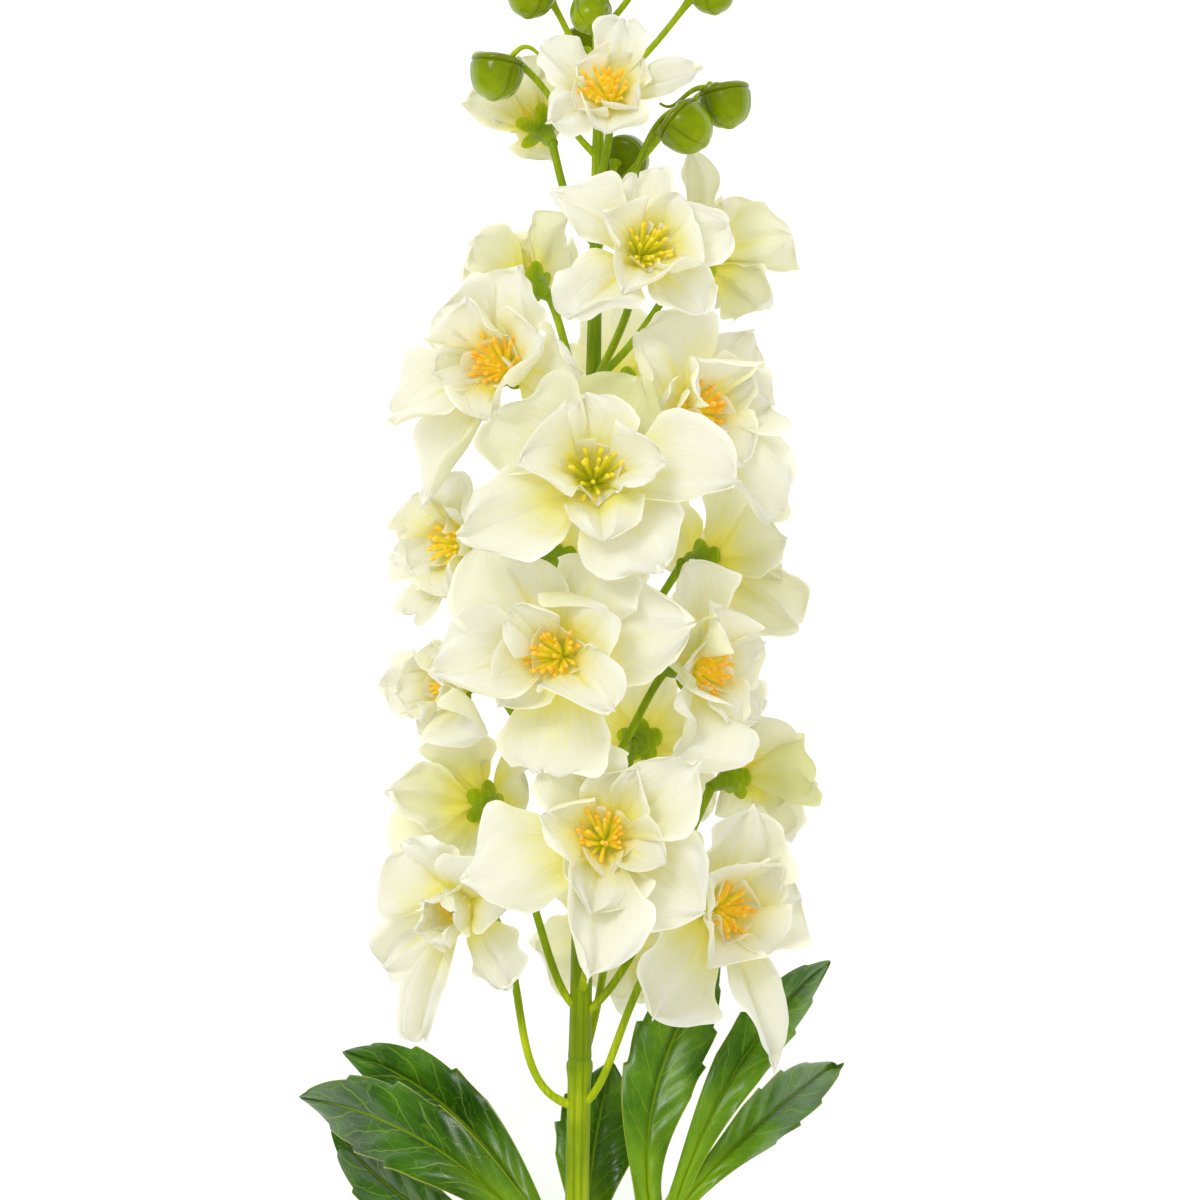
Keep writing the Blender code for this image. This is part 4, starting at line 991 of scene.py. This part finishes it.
def grow_flower_stalks():
    """Tubes of 12 sides, thicker where they leave the stalk and just under the flower. Each ends inside the
    foot of its calyx. Those low on the spike are paler."""
    shape = Shape()
    for bloom in BLOOMS:
        end = bloom.throat - bloom.facing * (CALYX_FOOT - 1.0)
        foot_y, *way = BOWED.get(bloom.name, (bloom.throat[1] - bloom.drop,))
        path = side_stalk(foot_y, end, bloom.facing, 26, way)
        t = np.linspace(0, 1, 26)
        radii = 1.30 + 0.55 * np.exp(-t / 0.06) + 0.35 * np.exp(-(1 - t) / 0.05)
        low = np.clip((20 - bloom.throat[1]) / 100, 0, 1)
        shade = np.interp(t, [0, 0.15, 1], [0.60, 0.66, 0.52]) + 0.14 * low
        add_tube(shape, path, radii, 12, np.array([0.3, 0.1, 1.0]), shade=shade, groove=0.0)
    return shape


flower_stalks = grow_flower_stalks().make("flower_stalks", ["stem"], stem_finish, "stem")
print("flower stalk faces:", len(flower_stalks.data.polygons))

# %% [markdown]
# Under each bloom sits a calyx, a green cup whose mouth is drawn out in five broad lobes. One bloom, seen
# from behind, has round pads there. The cup could be turned on a lathe and its lobes cut, but a radius that
# depends on height and angle gives both at once, as one closed surface.


# %% Grow the calyces
CALYX_SIDES, CALYX_TOP = 60, 0.35
CALYX_WITH_PADS = "top_left"


def grow_calyces():
    """A cup whose radius grows from 1.75 to 3.5, then a mouth where a power of |cos 2.5a| swells it to five
    lobes, broad ones or, on one bloom, round pads. An inner ring and a flat top close the mouth."""
    shape = Shape()
    levels = np.linspace(0, 1, 20)
    a = np.linspace(0, 2 * np.pi, CALYX_SIDES, endpoint=False)
    grid_t, grid_a = np.meshgrid(levels, a, indexing="ij")
    for bloom in BLOOMS:
        start = math.radians(bloom.inner_turn)
        pads = bloom.name == CALYX_WITH_PADS
        lobes = np.abs(np.cos(2.5 * (grid_a - start))) ** (1.1 if pads else 0.8)
        cup = 1.75 + 1.75 * np.clip(grid_t / 0.8, 0, 1) ** 1.3
        flare = np.clip((grid_t - 0.72) / 0.28, 0, 1)
        radius = cup + flare**1.2 * (0.3 + 4.9 * lobes if pads else 1.5 + 2.9 * lobes)
        radius *= 1 + 0.04 * np.cos(6 * (grid_a - start)) * np.clip(grid_t / 0.3, 0, 1)
        height = -CALYX_FOOT + 10.6 * np.clip(grid_t / 0.86, 0, 1) + np.clip(radius - 3.9, 0, None) * 0.30
        around = np.cos(grid_a)[..., None] * bloom.right + np.sin(grid_a)[..., None] * bloom.up
        points = bloom.throat + radius[..., None] * around + height[..., None] * bloom.facing
        inner = np.clip(radius[-1] - 0.15, 1, None)
        inner_height = -CALYX_TOP + np.clip(radius[-1] - 3.9, 0, None) * 0.30
        inner_ring = bloom.throat + inner[:, None] * around[-1] + inner_height[:, None] * bloom.facing
        ends = [bloom.throat - bloom.facing * depth for depth in (CALYX_FOOT, CALYX_TOP)]
        shades = [0.5, 0.42, 0.70, 1.05] if pads else [0.5, 0.48, 0.64, 0.86]
        shade = np.interp(grid_t, [0, 0.6, 0.78, 1], shades)
        shade = np.append(shade.ravel(), [0.8] * CALYX_SIDES + [0.4, 0.6])
        shape.add_rings(np.concatenate([points, inner_ring[None]]), ends, shade=shade, groove=0.0)
    return shape


calyces = grow_calyces().make("calyces", ["stem"], stem_finish, "stem")
print("calyx faces:", len(calyces.data.polygons))

# %% [markdown]
# The buds towards the tip are closed. Each row of the plan is a bud's middle, the way in which its stalk
# arrives, its radius, and how far below it the stalk sets out. Some big buds hang over on their bent stalk,
# so their bowl points another way, which HANG gives.

# %% Plan of the buds
BUDS = [
    ((-33, 168, 12), (-0.75, -0.45, 0.5), 8.6, 26),
    ((40, 159, 10), (0.55, -0.60, 0.6), 8.4, 32),
    ((27, 150, 22), (0.70, -0.25, 0.65), 8.6, 34),
    ((8, 142, -14), (0.4, 0.2, -0.9), 8.0, 30),
    ((-22, 194, 6), (-0.8, 0.30, 0.5), 8.0, 26),
    ((-3, 186, 17), (-0.1, -0.55, 0.83), 6.6, 22),
    ((36, 195, 4), (0.85, 0.25, 0.4), 7.6, 34),
    ((-6, 178, -16), (-0.2, 0.2, -0.95), 7.2, 24),
    ((17, 204, 14), (0.5, 0.5, 0.7), 6.2, 22),
    ((-12, 213, 10), (-0.5, 0.7, 0.5), 5.6, 20),
    ((10, 212, -13), (0.4, 0.6, -0.7), 5.8, 22),
    ((-10, 205, -14), (-0.5, 0.5, -0.7), 5.8, 20),
    ((9, 225, 4), (0.5, 0.85, 0.2), 4.6, 16),
    ((-3, 229, -3), (-0.1, 1.0, -0.1), 4.4, 8),
]
HANG = {
    0: (-0.15, -1.0, 0.12),
    1: (0.20, -1.0, 0.12),
    2: (0.75, -0.65, 0.25),
    4: (-0.15, -1.0, 0.1),
    6: (0.1, -1.0, 0.1),
}
print("buds:", len(BUDS))

# %% [markdown]
# The buds' moulded skin is the glossiest of the spike: a mottled green that ripens towards the tip, darkened
# with painted shade in the seams and in the groove under the lid, and brownish along the lid's rim. Each
# point holds how deep it lies in a seam and how far it is from lid to tip, so the marks follow the shape and
# need no picture.

# %% Bud finish
bud_finish, bud_shader, wire = new_finish("bud_green", Specular_IOR_Level=0.32)
seam = wire.attribute("seam")
level = wire.attribute("level")
place = wire.node("TexCoord", out=3)
mottle = wire.noise(place, 240.0, 4.0)
ripe = level.between(0.2, 0.9) * 0.5 + 0.22 + (mottle - 0.5) * 0.5
stops = [(0.0, (0.11, 0.15, 0.001)), (0.5, (0.20, 0.28, 0.001)), (1.0, (0.36, 0.46, 0.004))]
green = wire.node("ValToRGB", {"stops": stops}, {"Fac": ripe})
# Seams and the groove under the lid are darkened: painted shade.
green = blend_colour(seam * 0.60, green, (0.10, 0.13, 0.002))
rim = level.between(0.31, 0.34) - level.between(0.35, 0.37)
green = blend_colour(rim * 0.45, green, (0.26, 0.16, 0.02))
feed(bud_shader, "Base Color", green)
feed(bud_shader, "Roughness", 0.14 + mottle * 0.12)
print("bud finish:", len(bud_finish.node_tree.nodes), "nodes")

# %% [markdown]
# A bud is a bowl under a flat lid, with three seams where the petals will part. A profile turned round an
# axis gives lid and bowl as one closed surface, and the seams and the swell between them are functions of
# the angle.


# %% Grow the buds
LID = 0.36
BUD_SIDES = 64


def grow_buds():
    """A bowl under a flat lid, round an axis that points from the lid to the tip. For s up to LID the lid:
    radius sin q to the power 0.65 while it falls by 0.26 cos q. From there the bowl: radius cos q to the
    power 0.7 over 1.42 sin q. A groove runs round under the lid, and three seams divide the bowl."""
    shape = Shape()
    s = [np.linspace(0.01, LID, 14), np.linspace(0.37, 0.46, 10), np.linspace(0.49, 0.995, 22)]
    a = np.linspace(0, 2 * np.pi, BUD_SIDES, endpoint=False)
    grid_s, grid_a = np.meshgrid(np.concatenate(s), a, indexing="ij")
    lid = np.pi / 2 * np.clip(grid_s / LID, 0, 1)
    bowl = np.pi / 2 * np.clip((grid_s - LID) / (1 - LID), 0, 1)
    profile = np.where(grid_s < LID, np.sin(lid) ** 0.65, np.cos(bowl) ** 0.7)
    level = np.where(grid_s < LID, -0.40 - 0.26 * np.cos(lid), 1.42 * np.sin(bowl) - 0.40)
    groove = np.exp(-(((grid_s - 0.39) / 0.012) ** 2))
    for number, (spot, aim, size, _) in enumerate(BUDS):
        aim = unit(HANG.get(number, aim))
        right = unit(np.cross(aim, [0.2, 0.1, 1.0]))
        up = np.cross(aim, right)
        between_seams = np.sin(1.5 * (grid_a + 0.5 * number))
        seam = np.exp(-((between_seams / 0.09) ** 2)) * np.clip((grid_s - 0.40) / 0.05, 0, 1)
        ridge = np.exp(-((np.sin(grid_a + number) / 0.16) ** 2)) * np.sin(2 * lid)
        swell = 1 + 0.07 * np.abs(between_seams) * np.sin(bowl * 2)
        radius = size * profile * swell * (1 - 0.06 * groove - 0.05 * seam)
        height = size * (level - 0.07 * ridge + 0.09 * np.exp(-((1 - grid_s) / 0.05) ** 2))
        around = np.cos(grid_a)[..., None] * right + np.sin(grid_a)[..., None] * up
        points = np.array(spot) + radius[..., None] * around + height[..., None] * aim
        ends = np.array(spot) + np.array([[-0.66], [1.12]]) * size * aim
        shape.add_rings(
            points, ends, seam=np.append(np.clip(seam + groove, 0, 1).ravel(), [0, 1]),
            level=np.append(grid_s.ravel(), [0, 1]),
        )
    return shape


buds = grow_buds().make("buds", ["stem"], bud_finish, "stem")
print("bud faces:", len(buds.data.polygons))

# %% [markdown]
# Each bud has a thin stalk that swells into a collar under it, and beside some buds a spur curls away to a
# point. They are tubes along curves, as the flower stalks are.


# %% Grow the bud stalks
SPURS = [
    ((-29, 171.5, 13.5), (-24, 179, 15), (-21, 176, 15), (-16, 169, 13)),
    ((36.5, 162.5, 12), (27, 166, 15), (25, 153, 15), (19, 158, 14)),
    ((30, 155.5, 23.5), (18, 158, 26), (14, 144, 20), (9, 132, 9)),
    ((-18, 196, 8), (-9, 200, 10), (-8, 192, 8), (-4, 190, 6)),
    ((31.5, 196.5, 6), (20, 198, 8), (18, 190, 8), (13, 193, 8)),
]


def grow_bud_stalks():
    """Thin tubes to the buds, swelling into a small green collar under each one, and five tapering spurs."""
    shape = Shape()
    for spur in SPURS:
        ends = (np.array(end, float) for end in spur)
        path = bezier(*ends, np.linspace(0, 1, 24))
        hint = np.array([0.1, 0.1, 1.0])
        add_tube(shape, path, np.linspace(1.0, 0.42, 24), 10, hint, shade=0.76, groove=0.0)
    t = np.linspace(0, 1, 22)
    for spot, aim, size, drop in BUDS:
        aim = unit(aim)
        path = side_stalk(spot[1] - drop, np.array(spot) - aim * size * 0.95, aim, 22)
        radii = 1.05 + 0.5 * np.exp(-t / 0.07) + 1.1 * np.exp(-(1 - t) / 0.05)
        add_tube(shape, path, radii, 12, np.array([0.3, 0.1, 1.0]), shade=0.80, groove=0.0)
    return shape


bud_stalks = grow_bud_stalks().make("bud_stalks", ["stem"], stem_finish, "stem")
print("bud stalk faces:", len(bud_stalks.data.polygons))

# %% [markdown]
# The leaves have a soft gloss. A pale rib lies in a groove that is darkened with painted shade, fine side
# veins run forwards from it with a net between them, the foot is a young green and the edge is thin and
# yellowish. Veins follow the lobe,
# so they are worked out from the places along and across it that each point holds, and the net is a cell
# pattern's edges. One leaf is fresher than the others, by a value of its own.

# %% Leaf finish
VEIN_SPACING, VEIN_SLANT = 0.135, 0.20
leaf_finish, leaf_shader, wire = new_finish("leaf_green", Specular_IOR_Level=0.50)
along = wire.attribute("along")
across = wire.attribute("across")
side = wire.attribute("side")
place = wire.node("TexCoord", out=3)
drift = wire.noise(place, 45.0, 3.0)
grain = wire.noise(place, 700.0, 3.0)
fresh = wire.attribute("fresh")
far = abs(across)
row = (along + (drift - 0.5) * 0.20 - far * VEIN_SLANT) / VEIN_SPACING
row = row + wire.math("GREATER_THAN", across, 0.0) * 0.5
from_vein = abs(wire.math("FRACT", row) - 0.5)
side_vein = (1 - from_vein.between(0.01, 0.05)) * (1 - far.between(0.70, 0.95)) * along.between(0.08, 0.2)
net_at = wire.node("CombineXYZ", None, {0: across * 2.6, 1: along * 9.0 - far * 2.0, 2: drift * 2.5})
net = wire.node("TexVoronoi", {"feature": "DISTANCE_TO_EDGE"}, {"Vector": net_at, "Scale": 1.3})
rib = 1 - far.between(0.02, 0.06)
vein = wire.math("MAXIMUM", side_vein * 0.70, (1 - net.between(0.0, 0.045)) * 0.36)
vein = wire.math("MAXIMUM", vein, rib)
age = 0.50 + (drift - 0.5) * 1.5 - along * 0.10 + (grain - 0.5) * 0.22 + (fresh - 0.5) * 0.36
stops = [(0.1, (0.014, 0.062, 0.0)), (0.5, (0.048, 0.155, 0.0)), (0.9, (0.14, 0.31, 0.001))]
green = wire.node("ValToRGB", {"stops": stops}, {"Fac": age})
# Along the rib the green is darkened: painted shade in the groove.
green = blend_colour((1 - far.between(0.05, 0.25)) * 0.65, green, (0.014, 0.065, 0.0))
young = (1 - along.between(0.02, 0.50)) * (0.35 + 0.65 * (1 - far.between(0.1, 0.9)))
green = blend_colour(young * 0.85, green, (0.24, 0.42, 0.003))
green = blend_colour(vein * 0.55, green, (0.27, 0.44, 0.01))
green = blend_colour(far.between(0.94, 1.0) * 0.75, green, (0.44, 0.46, 0.03))
green = blend_colour((side * -0.5 + 0.5) * 0.5, green, (0.17, 0.28, 0.06))
feed(leaf_shader, "Base Color", green)
feed(leaf_shader, "Roughness", 0.21 + drift * 0.12 + grain * 0.05)
bump = wire.node("Bump", None, {"Strength": 0.25, "Distance": 0.0003, "Height": grain * 0.25 - vein * 0.8})
feed(leaf_shader, "Normal", bump)
print("leaf finish:", len(leaf_finish.node_tree.nodes), "nodes")

# %% [markdown]
# Each leaf has three long lobes that part near its foot, widest beyond their middle, with a few coarse
# teeth towards the tip. In the plan a lobe is given by its tip, the point that its rib bends towards, and
# its width, and shifts move its foot to the left or right of the parting.

# %% Plan of the leaves
LEAVES = {
    "leaf_left": {
        "joint": (-14.6, -238, 1),
        "parting": (-16, -206, 6),
        "shifts": (0, 0, 0),
        "fresh": 0.35,
        "lobes": [
            ((-98.5, -163, -50), (-54, -162, 20), 29),
            ((-84, -147, -40), (-40, -157, -8), 26),
            ((-88, -173, -60), (-60, -205, -8), 22),
        ],
    },
    "leaf_right": {
        "joint": (-2.5, -236, 1),
        "parting": (21.5, -192, 6),
        "shifts": (-5.0, 3.0, 5.0),
        "fresh": 1.0,
        "lobes": [
            ((39, -114, -14), (10, -154, 4), 28),
            ((75, -117, -30), (42, -138, 20), 20),
            ((78, -152, -56), (52, -162, 12), 20),
        ],
    },
    "leaf_back": {
        "joint": (-7.6, -236, -6.0),
        "parting": (-4, -206, -16),
        "shifts": (0, 0, 0),
        "fresh": 0.5,
        "lobes": [
            ((4, -150, -34), (-4, -178, -14), 30),
            ((-36, -216, -59), (-22, -198, -34), 24),
            ((26, -220, -59), (18, -200, -34), 24),
        ],
    },
}
print("leaves:", len(LEAVES))

# %% [markdown]
# A lobe is one grid on a curved rib, its teeth are a saw wave on the half width, and it puckers between the
# same rows of veins that the finish draws. That is why it is a formula too, not a cut-out. It ends as a
# thin closed blade, like a petal's. Where it would dip under the table it is lifted onto it, as a leaf
# bends when the spike is laid down. A tapered tube under the parting is the leaf's stalk.


# %% Grow the leaves
LOBE_ROWS, LOBE_COLUMNS = 110, 33
LEAF_SKIN = 0.40


def lobe_points(u, v, start, bend, tip, width, seed):
    """A rib from start past bend to tip, and from it a blade: half width a power of a sine, less a saw wave
    for the teeth near the tip, folded up along the rib, waved, and puckered slightly between the side
    veins."""
    t = v[:, None]
    a, b, c = (np.array(point, float) for point in (start, bend, tip))
    rib = a * (1 - t) ** 2 + 2 * b * t * (1 - t) + c * t**2
    along = unit(2 * (b - a) * (1 - t) + 2 * (c - b) * t)
    side = unit(np.cross(along, np.array([0.0, 0.0, 1.0])))
    normal = np.cross(side, along)
    swell = np.sin(np.pi * np.clip(v, 0, 1) ** 1.6) ** 0.95
    saw = ((v / 0.145 + seed * 0.37 + 0.4 * (u > 0)) % 1.0) ** 1.3
    teeth = 1 - 0.15 * (1 - saw) * np.clip((v - 0.46) / 0.10, 0, 1) * np.abs(u) ** 5
    half = 0.5 * width * (0.30 * (1 - v) ** 2 + 0.012 + 0.90 * swell * teeth)
    edge = np.abs(u)
    row = (v - VEIN_SLANT * edge) / VEIN_SPACING + 0.5 * (u > 0)
    lift = half * 0.42 * edge - half * 0.30 * u**2 - 0.5 * np.exp(-((u * half / 0.6) ** 2))
    lift += 0.22 * np.cos(2 * np.pi * row) * np.sin(np.pi * edge) + 0.8 * np.sin(8 * v + 4 * u + seed) * edge
    lift += 1.7 * edge**2 * np.sin(6.5 * v + 2.1 * seed + 1.5 * u) + 0.5 * edge**4 * np.sin(17 * v + seed)
    return rib + side * (half * u)[:, None] + normal * lift[:, None]


def grow_leaf(leaf, seed):
    """Three lobes, each a blade from its own start beside the parting, and the leaf stalk under them."""
    shape = Shape()
    joint, parting = np.array(leaf["joint"], float), np.array(leaf["parting"], float)
    way = unit(parting - joint)
    u = np.sin(np.pi / 2 * np.linspace(-1, 1, LOBE_COLUMNS))
    v = np.linspace(0, 1, LOBE_ROWS)
    v, u = (grid.ravel() for grid in np.meshgrid(v, u, indexing="ij"))
    for index, (tip, bend, width) in enumerate(leaf["lobes"]):
        start = parting - way * 1.5 + np.array([leaf["shifts"][index], 0, 0])
        points = lobe_points(u, v, start, bend, tip, width, seed + index)
        skin = LEAF_SKIN * np.sqrt(np.clip(1 - u**6, 0, 1) * np.clip(1 - v**20, 0, 1))
        points[:, 2] = np.maximum(points[:, 2], skin - STALK_HEIGHT)
        normal = blade_normals(points, LOBE_ROWS, LOBE_COLUMNS)
        normal *= np.sign(normal[:, 2].sum()) * skin[:, None]
        shape.add_blade(
            points + normal, points - normal, LOBE_ROWS, LOBE_COLUMNS, along=v, across=u, fresh=leaf["fresh"]
        )
    t = np.linspace(0, 1, 20)[:, None]
    path = joint * (1 - t) + (parting + way * 4) * t + np.array([0, 0, 1.0]) * np.sin(np.pi * t)
    radii = np.interp(t[:, 0], [0, 0.1, 0.7, 1], [2.0, 1.7, 1.5, 0.8])
    hint = np.array([1.0, 0.0, 0.2])
    add_tube(shape, path, radii, 14, hint, along=0.0, across=0.5, fresh=leaf["fresh"], side=1.0)
    return shape


for seed, (name, leaf) in enumerate(LEAVES.items()):
    shape = grow_leaf(leaf, seed)
    made = shape.make(name.replace("leaf_", "blade_"), [name], leaf_finish, "leaf")
    print(name, "faces:", len(made.data.polygons))

# %% [markdown]
# The table is white and stays out of the way: a large plane with a faint glow of its own, so that the
# shadows on it stay light, as on a lit photographer's table.

# %% The table
TABLE_HALF, TABLE_TOP = 6, -0.0003
corners = [(x * TABLE_HALF, y * TABLE_HALF, TABLE_TOP) for x, y in ((-1, -1), (1, -1), (1, 1), (-1, 1))]
table = bpy.data.meshes.new("table")
table.from_pydata(corners, [], [(0, 1, 2, 3)])
table_object = bpy.data.objects.new("table", table)
bpy.context.scene.collection.objects.link(table_object)
table_finish, _, _ = new_finish(
    "table_white", Base_Color=(0.50, 0.50, 0.50, 1), Roughness=0.7, Emission_Color=(1, 1, 1, 1),
    Emission_Strength=0.75,
)
table.materials.append(table_finish)
print("table:", 2 * TABLE_HALF, "m wide")

# %% [markdown]
# A white sky and two large soft lights give shadows with soft edges. Only the key light is mirrored in
# gloss. The sky and the fill light are hidden from it, so that leaves and buds show one clear highlight and
# keep their green instead of turning milky.

# %% Light
sky = bpy.data.worlds.new("white_sky")
bpy.context.scene.world = sky
sky.use_nodes = True
sky.node_tree.nodes["Background"].inputs["Color"].default_value = (1.0, 1.0, 1.0, 1.0)
sky.node_tree.nodes["Background"].inputs["Strength"].default_value = 0.88
sky.cycles_visibility.glossy = False


def soft_light(name, spot, size, power, mirrored):
    """A square area light at spot, in metres, facing the middle of the spike, mirrored in gloss or not."""
    lamp = bpy.data.lights.new(name, "AREA")
    lamp.size = size
    lamp.energy = power
    holder = bpy.data.objects.new(name, lamp)
    holder.location = spot
    holder.visible_glossy = mirrored
    back = np.array(spot) - np.array([0.0, 0.03, 0.06])
    tilt = math.acos(back[2] / np.linalg.norm(back))
    holder.rotation_euler = (tilt, 0, math.atan2(back[1], back[0]) + math.pi / 2)
    bpy.context.scene.collection.objects.link(holder)


soft_light("key", (-0.9, 1.1, 1.9), 0.7, 18.0, True)
soft_light("fill", (1.3, -0.5, 1.6), 1.4, 2.0, False)
bpy.context.scene.view_settings.view_transform = "Standard"

# %% [markdown]
# The camera looks straight down from 2.2 m through a long lens, so the flowers near it aren't enlarged.
# Lens length over sensor width is height over the width in view, which at the stalk is 384 mm.

# %% Camera
SENSOR, CAMERA_HEIGHT, WIDTH_IN_VIEW = 36.0, 2.2, 0.384
camera = bpy.data.cameras.new("camera")
camera.sensor_width = SENSOR
camera.lens = SENSOR * CAMERA_HEIGHT / WIDTH_IN_VIEW
camera.clip_end = 50.0
camera_object = bpy.data.objects.new("camera", camera)
camera_object.location = (ORIGIN[0] * MM, ORIGIN[1] * MM, STALK_HEIGHT * MM + CAMERA_HEIGHT)
bpy.context.scene.collection.objects.link(camera_object)
bpy.context.scene.camera = camera_object
print("camera:", round(camera.lens), "mm lens,", round(camera_object.location.z, 2), "m up")
